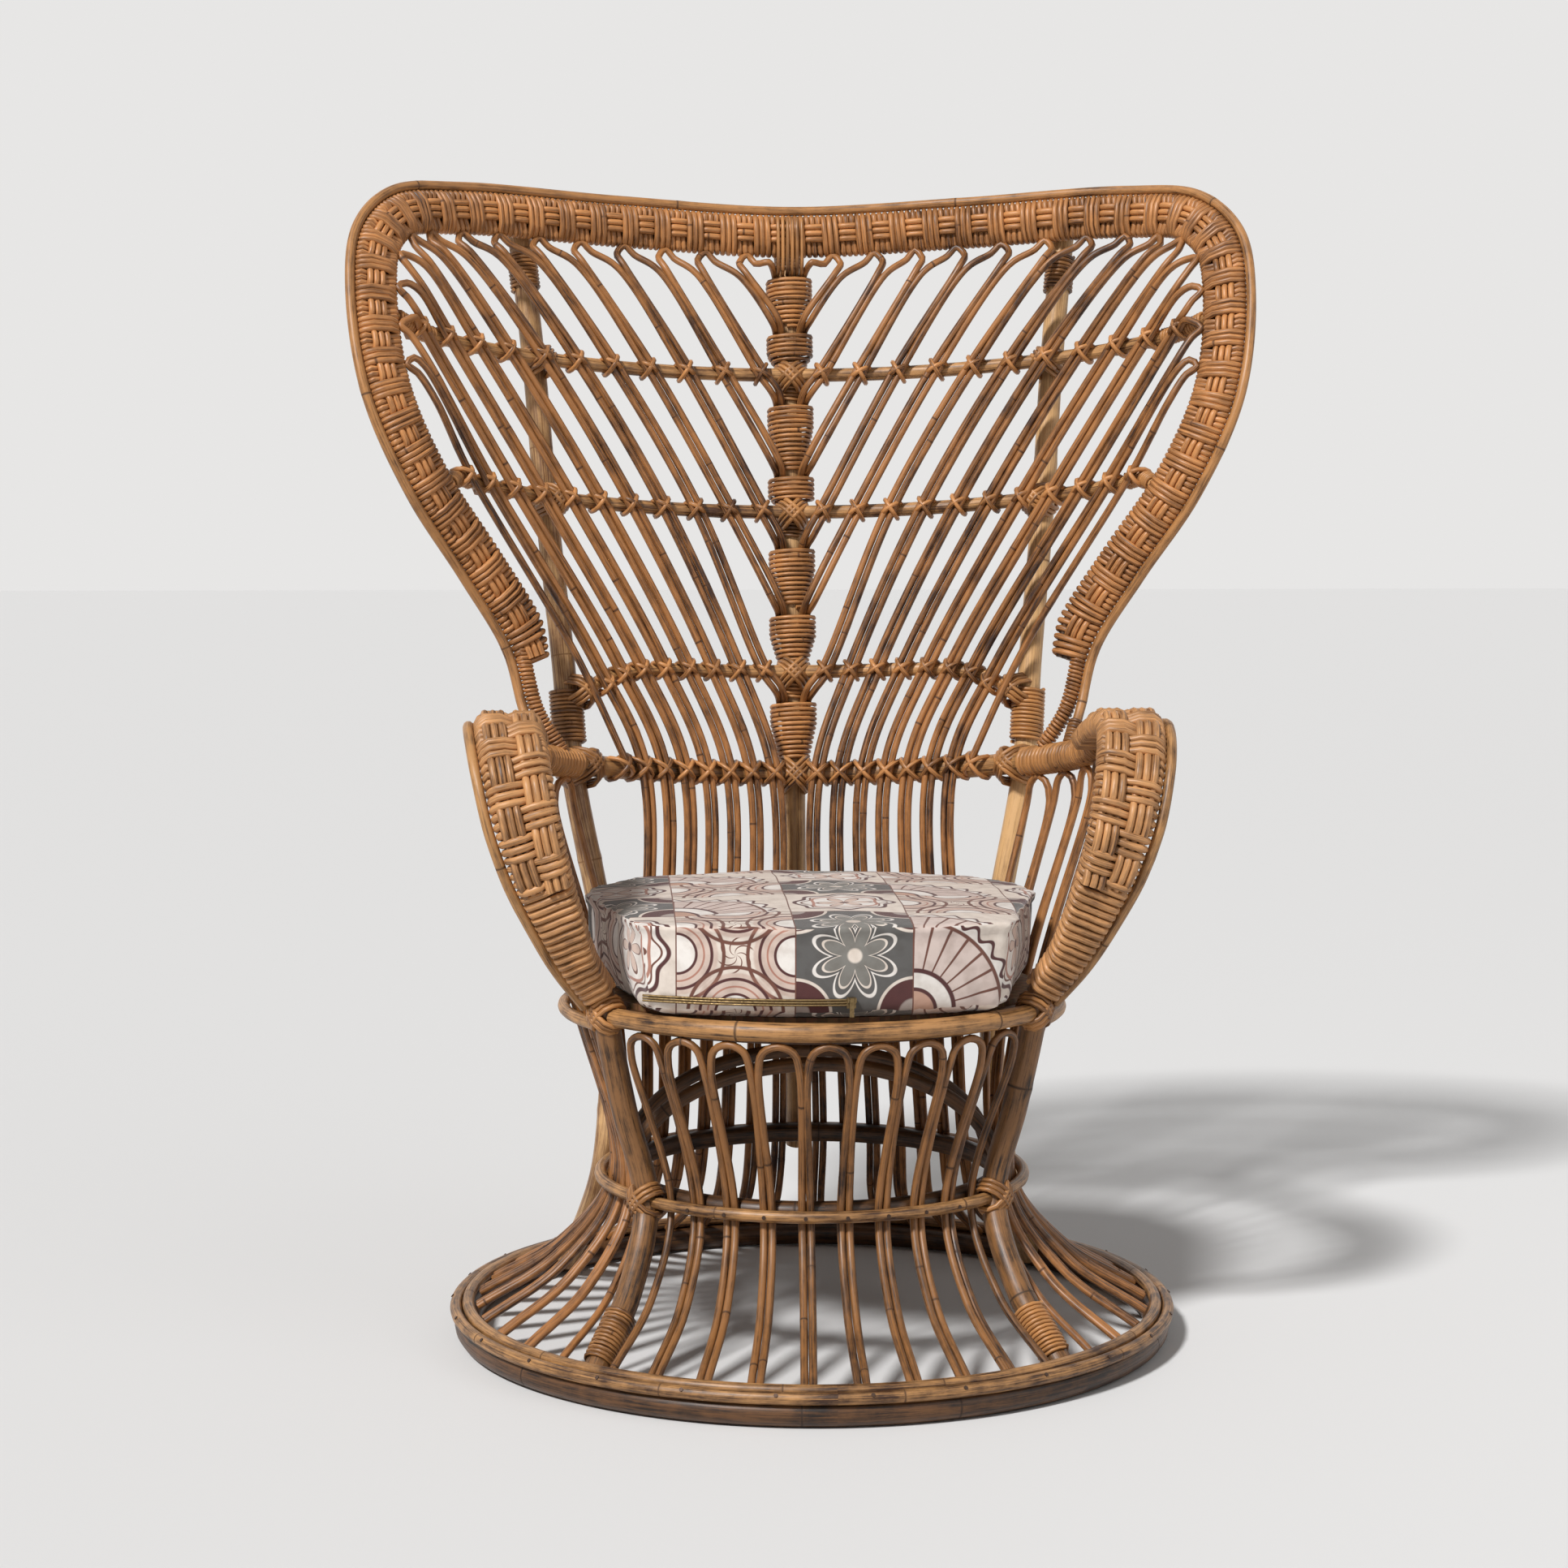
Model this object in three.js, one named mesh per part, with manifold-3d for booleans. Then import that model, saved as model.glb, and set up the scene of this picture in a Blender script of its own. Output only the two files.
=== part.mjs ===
// Rattan peacock armchair with a loose seat cushion.
// Millimetres, +Z up, the chair faces -Y, and the middle of its footprint is the origin.
import * as THREE from "three";
import { mergeVertices } from "three/addons/utils/BufferGeometryUtils.js";
import Module from "manifold-3d";

// Poles and canes
const POLE = 27;              // legs, posts and spine
const HOOP_POLE = 28;         // ground hoop
const INNER_HOOP = 22;        // hoops inside the waist and under the seat
const ARM_POLE = 25;          // lower back rail and arm rails
const SEAT_RAIL = 20;         // front seat rail
const BACK_RAIL = 16;
const RING_CANE = 13;         // base rings and outer hoops
const EDGE_CANE = 11;         // bead along the rim and the arms
const CANE = 8;               // hairpins
const CLEARANCE = 0.35;       // between neighbours that touch

// Base, waist and seat
const BASE_RADIUS = 372;      // middle of the ground hoop
const FOOT_FLAT = 5;          // half width of the worn flat under the ground hoop
const WAIST_RADIUS = 216.5;   // canes at the waist
const WAIST_HEIGHT = 172;
const SEAT_RADIUS = 255.7;    // canes at the seat
const SEAT_HEIGHT = 367;
const INNER_HOOP_DROP = 5.4;  // inner seat hoop below the front rail
const OUTER_HOOP_DROP = 12;   // outer seat hoop below the front rail
const DECK_THICKNESS = 6;

// Angles from the front, in degrees, of the legs and posts at each level
const LEG_ANGLE = { base: 41.5, waist: 52.3, seat: 56 };
const POST_ANGLE = { base: 131.6, waist: 117, seat: 131 };
const FLARE_SHARE = 0.42;     // bend of the flared skirt: share of the way out to the base
const FOOT_HEIGHT = 17.2;     // middle of a leg's end, where it seats on the ground hoop
const FOOT_BITE = 5;          // how far a leg's end reaches round the ground hoop
const LEG_HEAD = 14;          // front leg above the seat rail

// Back
const RIM_HEIGHT = 1255;      // top of the edge cane at the corners
const WING_WIDTH = 1008;      // over the edge canes
const BAND_WIDTH = 48;
const BAND_THICKNESS = 16;
const ARM_RAIL_HEIGHT = 576;
const BACK_TILT = 0.2;        // rise of a rail for each unit that it comes forward
const BACK_HAIRPINS = 14;     // on each side of the spine
const SIDE_HAIRPINS = 8;
const FRONT_HAIRPINS = 9;

// Arms
const ARM_HEIGHT = 660;       // middle of the arm at its highest
const ARM_SPREAD = 320;       // from the middle of the chair to the middle of an arm
const ARM_BAND_WIDTH = 66;
const ARM_BAND_THICKNESS = 20;

// Cushion and zip
const CUSHION_WIDTH = 472;
const CUSHION_THICKNESS = 96;
const CUSHION_FRONT_RADIUS = 420;
const CUSHION_FRONT = 258;    // front of the cushion ahead of the seat's middle
const CUSHION_BACK = 226;
const ZIP_DROP = 78;          // zip below the cushion's top
const ZIP_ANGLE = 3;          // rest place of the slider along the front, in degrees

// Facets
const CANE_SIDES = 4;
const RING_SIDES = 6;
const POLE_SIDES = 8;
const RING_STEPS = 30;

const rattan = { light: 0xc79a5e, mid: 0xa8723c, dark: 0x8a5528, wrap: 0xb98547 };
const chair = new THREE.Group();
const wasm = await Module();
wasm.setup();

const rad = THREE.MathUtils.degToRad;
const vec = (x, y, z) => new THREE.Vector3(x, y, z);
const mirrored = (p, side) => vec(p.x * side, p.y, p.z);
const polar = (angle, radius, z) => vec(radius * Math.sin(rad(angle)), -radius * Math.cos(rad(angle)), z);
const sideName = (side) => (side < 0 ? "left" : "right");

function addPart(name, geometry, colour, roughness = 0.55) {
  const material = new THREE.MeshStandardMaterial({ color: colour, roughness, metalness: 0 });
  const mesh = new THREE.Mesh(geometry, material);
  mesh.name = name;
  chair.add(mesh);
  return mesh;
}

function polygon(radius, sides, start = sides % 4 ? 0.5 : 0) {
  return Array.from({ length: sides }, (_, i) => {
    const turn = (2 * Math.PI * (i + start)) / sides;
    return new THREE.Vector2(radius * Math.cos(turn), radius * Math.sin(turn));
  });
}

// A pole or cane along a smooth curve, with its steps at the curve's own points.
function sweep(points, diameter, sides, perSpan = 1) {
  const path = new THREE.CatmullRomCurve3(points, false, "centripetal");
  path.getUtoTmapping = (u) => u;
  const section = new THREE.Shape(polygon(diameter / 2, sides));
  const steps = (points.length - 1) * perSpan;
  return new THREE.ExtrudeGeometry(section, { steps, bevelEnabled: false, extrudePath: path });
}

// A closed skin over rings of points, with a fan over each end.
function loft(rings) {
  const count = rings[0].length;
  const corners = rings.flat();
  const faces = [];
  for (let r = 0; r + 1 < rings.length; r += 1) {
    for (let i = 0; i < count; i += 1) {
      const a = r * count + i;
      const b = r * count + ((i + 1) % count);
      faces.push(a, b, b + count, a, b + count, a + count);
    }
  }
  const last = corners.length - count;
  for (let i = 1; i + 1 < count; i += 1) {
    faces.push(0, i + 1, i, last, last + i, last + i + 1);
  }
  const geometry = new THREE.BufferGeometry().setFromPoints(corners);
  geometry.setIndex(faces);
  return geometry;
}

function hoop(radius, z, diameter, steps = RING_STEPS) {
  const profile = polygon(diameter / 2, RING_SIDES, 0).map((p) => new THREE.Vector2(radius + p.x, p.y));
  profile.push(profile[0].clone());
  const ring = new THREE.LatheGeometry(profile, steps);
  return ring.rotateX(Math.PI / 2).translate(0, 0, z);
}

// Points on an arc whose chords stay outside the given radius.
function arc(fromAngle, toAngle, radius, z, steps) {
  const reach = radius / Math.cos(rad((toAngle - fromAngle) / steps / 2));
  return Array.from({ length: steps + 1 }, (_, i) => {
    return polar(THREE.MathUtils.lerp(fromAngle, toAngle, i / steps), reach, z);
  });
}

function toSolid(geometry) {
  const bare = geometry.clone();
  bare.deleteAttribute("normal");
  bare.deleteAttribute("uv");
  const merged = mergeVertices(bare, 1e-4);
  const vertProperties = new Float32Array(merged.attributes.position.array);
  const triVerts = new Uint32Array(merged.index.array);
  return new wasm.Manifold(new wasm.Mesh({ numProp: 3, vertProperties, triVerts }));
}

function fromSolid(solid) {
  const mesh = solid.getMesh();
  const geometry = new THREE.BufferGeometry();
  geometry.setAttribute("position", new THREE.BufferAttribute(mesh.vertProperties, 3));
  geometry.setIndex(new THREE.BufferAttribute(mesh.triVerts, 1));
  return geometry;
}

const joined = (geometries) => fromSolid(geometries.map(toSolid).reduce((whole, piece) => whole.add(piece)));

// A piece whose ends are cut to seat against its neighbours, given as solids grown by the clearance.
const fitted = (geometry, neighbours) => {
  return fromSolid(neighbours.reduce((rest, neighbour) => rest.subtract(neighbour), toSolid(geometry)));
};

// Ground hoop with its worn flat, and the two thin rings nailed on top of it.
function groundHoop(grow) {
  const radius = HOOP_POLE / 2 + grow;
  const profile = polygon(radius, POLE_SIDES + 2)
    .map((p) => new THREE.Vector2(BASE_RADIUS + p.x, HOOP_POLE / 2 + p.y));
  const round = profile.filter((p) => p.y > 1);
  const bearing = (p) => Math.atan2(p.y - HOOP_POLE / 2, p.x - BASE_RADIUS);
  const flat = [-1, 1].map((end) => new THREE.Vector2(BASE_RADIUS + end * (FOOT_FLAT + grow), -grow));
  const closed = [...round, ...flat].sort((a, b) => bearing(a) - bearing(b));
  return new THREE.LatheGeometry([...closed, closed[0].clone()], RING_STEPS).rotateX(Math.PI / 2);
}
addPart("base_hoop", groundHoop(0), rattan.mid);

const ringReach = (HOOP_POLE + RING_CANE) / 2 + CLEARANCE;
const OUTER_RING_LEAN = 36;   // degrees from upright, seen from the ground hoop's middle
const INNER_RING_LEAN = -2.5;
const onHoop = (lean) => ({
  radius: BASE_RADIUS + ringReach * Math.sin(rad(lean)),
  z: HOOP_POLE / 2 + ringReach * Math.cos(rad(lean)),
});
const outerRing = onHoop(OUTER_RING_LEAN);
const innerRing = onHoop(INNER_RING_LEAN);
addPart("base_ring_outer", hoop(outerRing.radius, outerRing.z, RING_CANE), rattan.light);
addPart("base_ring_inner", hoop(innerRing.radius, innerRing.z, RING_CANE), rattan.light);

// Circles of the outer and inner hoops that hold the canes at the waist and at the seat.
const waistOuter = WAIST_RADIUS + (CANE + RING_CANE) / 2 + 4 * CLEARANCE;
const waistInner = WAIST_RADIUS - (CANE + INNER_HOOP) / 2 - CLEARANCE;
const seatOuter = SEAT_RADIUS + (CANE + RING_CANE) / 2 + CLEARANCE;
const seatInner = SEAT_RADIUS - (CANE + INNER_HOOP) / 2 - CLEARANCE;
const seatHoopHeight = SEAT_HEIGHT - INNER_HOOP_DROP;
const outerHoopHeight = SEAT_HEIGHT - OUTER_HOOP_DROP;
const legTop = SEAT_HEIGHT + LEG_HEAD;

// Front legs and rear posts splay at the foot, where their ends butt against the ground hoop.
const footRadius = BASE_RADIUS - HOOP_POLE / 2 + FOOT_BITE;
const hoopGrown = toSolid(groundHoop(CLEARANCE));
const ringGrown = toSolid(hoop(innerRing.radius, innerRing.z, RING_CANE + 2 * CLEARANCE));
const legGrown = [];
const skirtPoint = (angle, radius, share, inset) => {
  const out = THREE.MathUtils.lerp(radius, footRadius, share);
  return polar(angle, out - inset, THREE.MathUtils.lerp(WAIST_HEIGHT, FOOT_HEIGHT, share ** 0.72));
};
for (const side of [-1, 1]) {
  const bends = [
    polar(LEG_ANGLE.seat, seatOuter, legTop),
    polar(LEG_ANGLE.seat, seatOuter, SEAT_HEIGHT),
    polar(LEG_ANGLE.seat, (seatOuter + waistOuter) / 2 - 2, (SEAT_HEIGHT + WAIST_HEIGHT) / 2),
    polar(LEG_ANGLE.waist, waistOuter, WAIST_HEIGHT),
    skirtPoint(LEG_ANGLE.base + 4, waistOuter, FLARE_SHARE, 6),
    skirtPoint(LEG_ANGLE.base + 1, waistOuter, 0.8, 2),
    polar(LEG_ANGLE.base, footRadius, FOOT_HEIGHT),
  ].map((p) => mirrored(p, side));
  const leg = fitted(sweep(bends, POLE, POLE_SIDES, 2), [hoopGrown, ringGrown]);
  addPart(`front_leg_${sideName(side)}`, leg, rattan.light);
  legGrown.push(toSolid(sweep(bends, POLE + 2 * CLEARANCE, POLE_SIDES, 2)));
}

// Waist: the canes run between a thick hoop inside and a thin one outside, which the front legs part.
addPart("waist_hoop_inner", hoop(waistInner, WAIST_HEIGHT, INNER_HOOP), rattan.mid);
function betweenLegs(angle, radius, z, diameter, sides, steps) {
  const [from, to] = angle < 180 ? [-angle, angle] : [angle - 180, 540 - angle];
  const points = arc(from, to, radius, z, steps);
  return fitted(sweep(points, diameter, sides), legGrown);
}
const frontHoop = betweenLegs(LEG_ANGLE.waist, waistOuter, WAIST_HEIGHT, RING_CANE, RING_SIDES, 11);
const rearHoop = betweenLegs(LEG_ANGLE.waist + 180, waistOuter, WAIST_HEIGHT, RING_CANE, RING_SIDES, 24);
addPart("waist_hoop_front", frontHoop, rattan.light);
addPart("waist_hoop_rear", rearHoop, rattan.light);

// Seat: an inner hoop carries the deck, the front rail and the outer hoop close the ring between the legs.
addPart("seat_hoop_inner", hoop(seatInner, seatHoopHeight, INNER_HOOP), rattan.dark);
const frontRail = betweenLegs(LEG_ANGLE.seat, seatOuter, SEAT_HEIGHT, SEAT_RAIL, POLE_SIDES, 11);
addPart("front_seat_rail", frontRail, rattan.mid);
const outerHoop = betweenLegs(LEG_ANGLE.seat + 180, seatOuter, outerHoopHeight, RING_CANE, RING_SIDES, 23);
addPart("seat_hoop_outer", outerHoop, rattan.light);
const deckBottom = seatHoopHeight + (INNER_HOOP / 2) * Math.cos(Math.PI / RING_SIDES) + CLEARANCE;
const deck = new THREE.CylinderGeometry(seatInner, seatInner, DECK_THICKNESS, RING_STEPS);
addPart("seat_deck", deck.rotateX(Math.PI / 2).translate(0, 0, deckBottom + DECK_THICKNESS / 2), rattan.dark);

// Two bent braces arch from the waist hoop to just under the seat.
const BRACE_APART = 90;
const BRACE_RISE = 118;
const braceFoot = WAIST_HEIGHT + INNER_HOOP / 4;
const waistGrown = toSolid(hoop(waistInner, WAIST_HEIGHT, INNER_HOOP + 2 * CLEARANCE));
for (const [name, along] of [["arch_brace_front", -1], ["arch_brace_rear", 1]]) {
  const y = (along * BRACE_APART) / 2;
  const half = Math.sqrt(waistInner ** 2 - y ** 2);
  const points = Array.from({ length: 11 }, (_, i) => {
    const turn = Math.PI * (i / 10);
    return vec(-half * Math.cos(turn), y, braceFoot + BRACE_RISE * Math.sin(turn));
  });
  addPart(name, fitted(sweep(points, BACK_RAIL, RING_SIDES), [waistGrown]), rattan.dark);
}

// Back rails, posts and canes, in shares of the back's height above the arm rail and of the wings' width.
const RAIL_RISE_SHARE = { lower: 0.174, middle: 0.448, upper: 0.685 };
const RAIL_SHARE = { lower: 0.262, middle: 0.455, upper: 0.5 };
const PITCH_SHARE = { arm: 0.028, lower: 0.031, middle: 0.0402, upper: 0.0453 };
const CROSSING_SHARE = { arm: 0.026, lower: 0.036, middle: 0.036, upper: 0.036 };
const POST_SHARE = { arm: 0.262, lower: 0.272, middle: 0.289, upper: 0.301, top: 0.316 };
const backRise = RIM_HEIGHT - ARM_RAIL_HEIGHT;
const upBack = (share) => ARM_RAIL_HEIGHT + share * backRise;
const eachLevel = (table, use) => Object.fromEntries(Object.entries(table).map(([level, v]) => [level, use(v)]));
const acrossWings = (shares) => eachLevel(shares, (share) => share * WING_WIDTH);
const railHeight = eachLevel(RAIL_RISE_SHARE, upBack);
const railReach = acrossWings(RAIL_SHARE);
const railPitch = acrossWings(PITCH_SHARE);
const firstCrossing = acrossWings(CROSSING_SHARE);
const postReach = acrossWings(POST_SHARE);
// Where each pair of canes meets the band, from the spine out.
const PAIR_SHARE = [
  0.027, 0.074, 0.125, 0.171, 0.224, 0.278, 0.33, 0.38, 0.428, 0.468, 0.507, 0.547, 0.587, 0.627, 0.667,
];

// The back is a reclined sheet whose rails are arcs, wider at the wings: s runs along a rail, h up the spine.
const SPINE_LINE = [[SEAT_HEIGHT, 272], [ARM_RAIL_HEIGHT, 299], [RIM_HEIGHT, 420]];
const PLAN_RADIUS = [[SEAT_HEIGHT, 272], [ARM_RAIL_HEIGHT, 0.35 * WING_WIDTH], [RIM_HEIGHT, 0.7 * WING_WIDTH]];
function along(table, h) {
  const upper = h > table[1][0] ? 1 : 0;
  const [[h0, v0], [h1, v1]] = table.slice(upper, upper + 2);
  return v0 + ((h - h0) / (h1 - h0)) * (v1 - v0);
}
function sheet(s, h) {
  const radius = along(PLAN_RADIUS, h);
  const turn = s / radius;
  const forward = radius * (1 - Math.cos(turn));
  return vec(radius * Math.sin(turn), along(SPINE_LINE, h) - forward, h + BACK_TILT * forward);
}
function sheetNormal(s, h) {
  const across = sheet(s + 1, h).sub(sheet(s - 1, h));
  const up = sheet(s, h + 1).sub(sheet(s, h - 1));
  return across.cross(up).normalize();
}
const onBack = (s, h, lift = 0) => sheet(s, h).addScaledVector(sheetNormal(s, h), lift);

// The rim: an edge cane round the outline, a woven band inside it, and hairpins that hang from the band.
const wing = WING_WIDTH / 2;
const RIM_SHARE = [
  [0, 0.0205], [0.41, 0.0073], [0.77, -0.0015], [0.915, 0.0146], [0.985, 0.08], [0.995, 0.183],
  [0.955, 0.358], [0.865, 0.515], [0.755, 0.65], [0.665, 0.768], [0.63, 0.863], [0.64, 0.898],
];
const rimOutline = RIM_SHARE.map(([out, drop]) => [out * wing, RIM_HEIGHT - drop * backRise]);
function fromFront(x, z) {
  let h = z;
  for (let i = 0; i < 8; i += 1) {
    const radius = along(PLAN_RADIUS, h);
    h = z - BACK_TILT * (radius - Math.sqrt(radius ** 2 - x ** 2));
  }
  const radius = along(PLAN_RADIUS, h);
  return { s: radius * Math.asin(x / radius), h };
}
const rimHalf = rimOutline.map(([x, z]) => {
  const flat = fromFront(Math.max(0, x - EDGE_CANE / 2), z - EDGE_CANE / 2);
  return sheet(flat.s, flat.h);
});
const rimLine = new THREE.CatmullRomCurve3([
  ...rimHalf.slice(1).reverse().map((p) => mirrored(p, -1)), ...rimHalf,
], false, "centripetal");
const rimSpans = 2 * (rimOutline.length - 1);
const RIM_SPAN_STEPS = 2;
const BAND_TURN = 0.5;        // how far the band turns from the sheet to face the front
function rimFrame(t) {
  const point = rimLine.getPoint(t);
  const tangent = rimLine.getTangent(t);
  const flat = fromFront(point.x, point.z);
  const normal = sheetNormal(flat.s, flat.h).lerp(vec(0, -1, 0), BAND_TURN);
  normal.addScaledVector(tangent, -normal.dot(tangent)).normalize();
  return { point, tangent, normal, inward: tangent.clone().cross(normal) };
}
addPart("rim_edge_cane", sweep(rimLine.points, EDGE_CANE, RING_SIDES, RIM_SPAN_STEPS), rattan.mid);

const BAND_END = 2;           // spans of the rim below each end of the woven band
const bandSection = [[-1, 0.45], [-0.8, 1], [0.8, 1], [1, 0.45], [1, -0.45], [0.8, -1], [-0.8, -1], [-1, -0.45]];
const BAND_TAPER = 0.8;       // share of the band's width left at its ends
const bandSteps = RIM_SPAN_STEPS * (rimSpans - 2 * BAND_END);
function bandRings(grow) {
  return Array.from({ length: bandSteps + 1 }, (_, i) => {
    const { point, normal, inward } = rimFrame((BAND_END + i / RIM_SPAN_STEPS) / rimSpans);
    const fromEnd = Math.min(i, bandSteps - i) / RIM_SPAN_STEPS;
    const width = BAND_WIDTH * Math.min(1, BAND_TAPER + fromEnd * 0.5);
    const middle = EDGE_CANE / 2 + 2 * CLEARANCE + width / 2;
    return bandSection.map(([a, b]) => point.clone()
      .addScaledVector(inward, middle + a * (width / 2 + grow))
      .addScaledVector(normal, b * (BAND_THICKNESS / 2 + grow)));
  });
}
addPart("rim_band", loft(bandRings(0)), rattan.wrap);
const bandGrown = toSolid(loft(bandRings(CLEARANCE)));

// Back rails in front of the spine and the posts, behind the canes.
const cross = (BACK_RAIL + CANE) / 2 + 4 * CLEARANCE;
const behind = -(BACK_RAIL + POLE) / 2 - CLEARANCE;
const behindBand = -(BAND_THICKNESS + POLE) / 2 - 15 * CLEARANCE;
const armCross = (ARM_POLE + CANE) / 2 + 2 * CLEARANCE;
const armBehind = -(ARM_POLE + POLE) / 2 - CLEARANCE;
const RAIL_END_LIFT = 12;     // upper rails come forward at their ends to meet the band
const RAIL_DROOP = 34;        // the lower rail bends down at its ends
const railLift = (level, s) => (level === "lower" ? 0 : RAIL_END_LIFT * Math.abs(s / railReach[level]) ** 6);
for (const [level, h] of Object.entries(railHeight)) {
  const reach = railReach[level];
  const points = Array.from({ length: 17 }, (_, i) => {
    const s = reach * (i / 8 - 1);
    const droop = level === "lower" ? RAIL_DROOP * Math.abs(s / reach) ** 6 : 0;
    return onBack(s, h - droop, railLift(level, s));
  });
  addPart(`back_rail_${level}`, fitted(sweep(points, BACK_RAIL, RING_SIDES), [bandGrown]), rattan.mid);
}

// Spine and rear posts. The spine steps back to clear the band at its top and the thicker arm rail below.
const spineTop = RIM_HEIGHT - 40;
const postTop = RIM_HEIGHT - 50;
const spineLift = (h) => {
  if (h > railHeight.upper) {
    return THREE.MathUtils.mapLinear(h, railHeight.upper, spineTop, behind, behindBand);
  }
  const share = (h - ARM_RAIL_HEIGHT) / (railHeight.lower - ARM_RAIL_HEIGHT);
  return THREE.MathUtils.lerp(armBehind, behind, Math.min(1, share));
};
const behindHoop = (RING_CANE + POLE) / 2 + 4 * CLEARANCE;
const spinePoints = [
  onBack(0, spineTop, behindBand), onBack(0, railHeight.upper, behind), onBack(0, railHeight.middle, behind),
  onBack(0, railHeight.lower, behind), onBack(0, ARM_RAIL_HEIGHT, armBehind),
  polar(180, seatOuter + behindHoop, outerHoopHeight),
  polar(180, waistOuter + behindHoop, WAIST_HEIGHT),
  polar(180, waistOuter + behindHoop + 4, WAIST_HEIGHT - 24),
];
addPart("spine_post", sweep(spinePoints, POLE, POLE_SIDES), rattan.light);
for (const side of [-1, 1]) {
  const bends = [
    onBack(postReach.top, postTop, behindBand), onBack(postReach.upper, railHeight.upper, behind),
    onBack(postReach.middle, railHeight.middle, behind), onBack(postReach.lower, railHeight.lower, behind),
    onBack(postReach.arm, ARM_RAIL_HEIGHT, armBehind),
    polar(POST_ANGLE.seat, seatOuter + behindHoop, outerHoopHeight),
    polar(POST_ANGLE.waist, waistOuter + behindHoop, WAIST_HEIGHT),
    skirtPoint((POST_ANGLE.waist + POST_ANGLE.base) / 2, waistOuter + 20, FLARE_SHARE, 4),
    polar(POST_ANGLE.base, footRadius, FOOT_HEIGHT),
  ].map((p) => mirrored(p, side));
  const post = fitted(sweep(bends, POLE, POLE_SIDES), [hoopGrown, ringGrown]);
  addPart(`rear_post_${sideName(side)}`, post, rattan.light);
}

// Arm hoop: the lower back rail, whose ends come forward and rise into the arms.
const armStart = vec(ARM_SPREAD - 4, 20, ARM_HEIGHT - 26);
const armBends = [
  vec(ARM_SPREAD, -60, ARM_HEIGHT - 4), vec(ARM_SPREAD - 1, -138, ARM_HEIGHT),
  vec(ARM_SPREAD - 9, -193, ARM_HEIGHT - 30), vec(ARM_SPREAD - 21, -219, ARM_HEIGHT - 86),
  vec(ARM_SPREAD - 35, -216, ARM_HEIGHT - 138), vec(ARM_SPREAD - 53, -200, ARM_HEIGHT - 188),
  vec(ARM_SPREAD - 72, -178, ARM_HEIGHT - 234),
];
const legHead = polar(LEG_ANGLE.seat, seatOuter, legTop + CLEARANCE);
const armReturn = vec(ARM_SPREAD - 18, 100, ARM_RAIL_HEIGHT + 38);
const hoopHalf = [
  ...[45, 90, 135, 180, 225, postReach.arm].map((s) => sheet(s, ARM_RAIL_HEIGHT)),
  armReturn, armStart.clone().add(vec(0, CLEARANCE, 0)),
];
const hoopPoints = [
  ...hoopHalf.map((p) => mirrored(p, -1)).reverse(), sheet(0, ARM_RAIL_HEIGHT), ...hoopHalf,
];

// Arms: a woven band over the hoop's end, down to the head of the front leg, with a bead on its outer side.
const ARM_TAPER = [
  [1, 1], [1, 1], [1, 1], [1, 1], [0.95, 1], [0.85, 1.05], [0.7, 1.15], [0.55, 1.25], [0.42, 1.3],
];
const armBands = [];
for (const side of [-1, 1]) {
  const centres = [armStart, ...armBends, legHead];
  const path = new THREE.CatmullRomCurve3(centres.map((p) => mirrored(p, side)), false, "centripetal");
  const stations = 2 * (centres.length - 1);
  const rings = [];
  const bead = [];
  for (let i = 0; i <= stations; i += 1) {
    const t = i / stations;
    const point = path.getPoint(t);
    const tangent = path.getTangent(t);
    const wide = vec(side, 0, 0);
    wide.addScaledVector(tangent, -wide.dot(tangent)).normalize();
    const out = wide.clone().cross(tangent).multiplyScalar(-side);
    const [w0, k0] = ARM_TAPER[Math.floor(i / 2)];
    const [w1, k1] = ARM_TAPER[Math.min(Math.ceil(i / 2), ARM_TAPER.length - 1)];
    const halfWidth = ((w0 + w1) / 4) * ARM_BAND_WIDTH;
    const halfThick = ((k0 + k1) / 4) * ARM_BAND_THICKNESS;
    const section = side < 0 ? bandSection : [...bandSection].reverse();
    rings.push(section.map(([a, b]) => point.clone()
      .addScaledVector(wide, a * halfWidth).addScaledVector(out, b * halfThick)));
    bead.push(point.clone().addScaledVector(wide, halfWidth + EDGE_CANE / 2 + CLEARANCE));
  }
  addPart(`arm_band_${sideName(side)}`, fitted(loft(rings), legGrown), rattan.wrap);
  armBands.push(toSolid(loft(rings)));
  const beadEnd = stations - 1;
  addPart(`arm_edge_cane_${sideName(side)}`, sweep(bead.slice(1, beadEnd), EDGE_CANE, RING_SIDES), rattan.mid);
}

addPart("arm_hoop", fitted(sweep(hoopPoints, ARM_POLE, POLE_SIDES), armBands), rattan.mid);

// Rim tails: the narrow wrapped ends of the rim, down to the arm rail.
const TAIL = 14;
const TAIL_GAP = 5;           // between a tail and the edge cane
for (const side of [-1, 1]) {
  const beside = (spans, drop) => {
    const { point, inward, tangent } = rimFrame(1 - spans / rimSpans);
    return point.addScaledVector(inward, (EDGE_CANE + TAIL) / 2 + TAIL_GAP).addScaledVector(tangent, drop);
  };
  const head = beside(BAND_END, 3);
  const middle = beside(1, 0);
  const seat = sheet(postReach.arm, ARM_RAIL_HEIGHT).lerp(armReturn, 0.45).add(vec(2, 0, (ARM_POLE + TAIL) / 2));
  const points = [head, middle, seat].map((p) => mirrored(p, side));
  addPart(`rim_tail_${sideName(side)}`, sweep(points, TAIL, RING_SIDES, 3), rattan.wrap);
}

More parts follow.
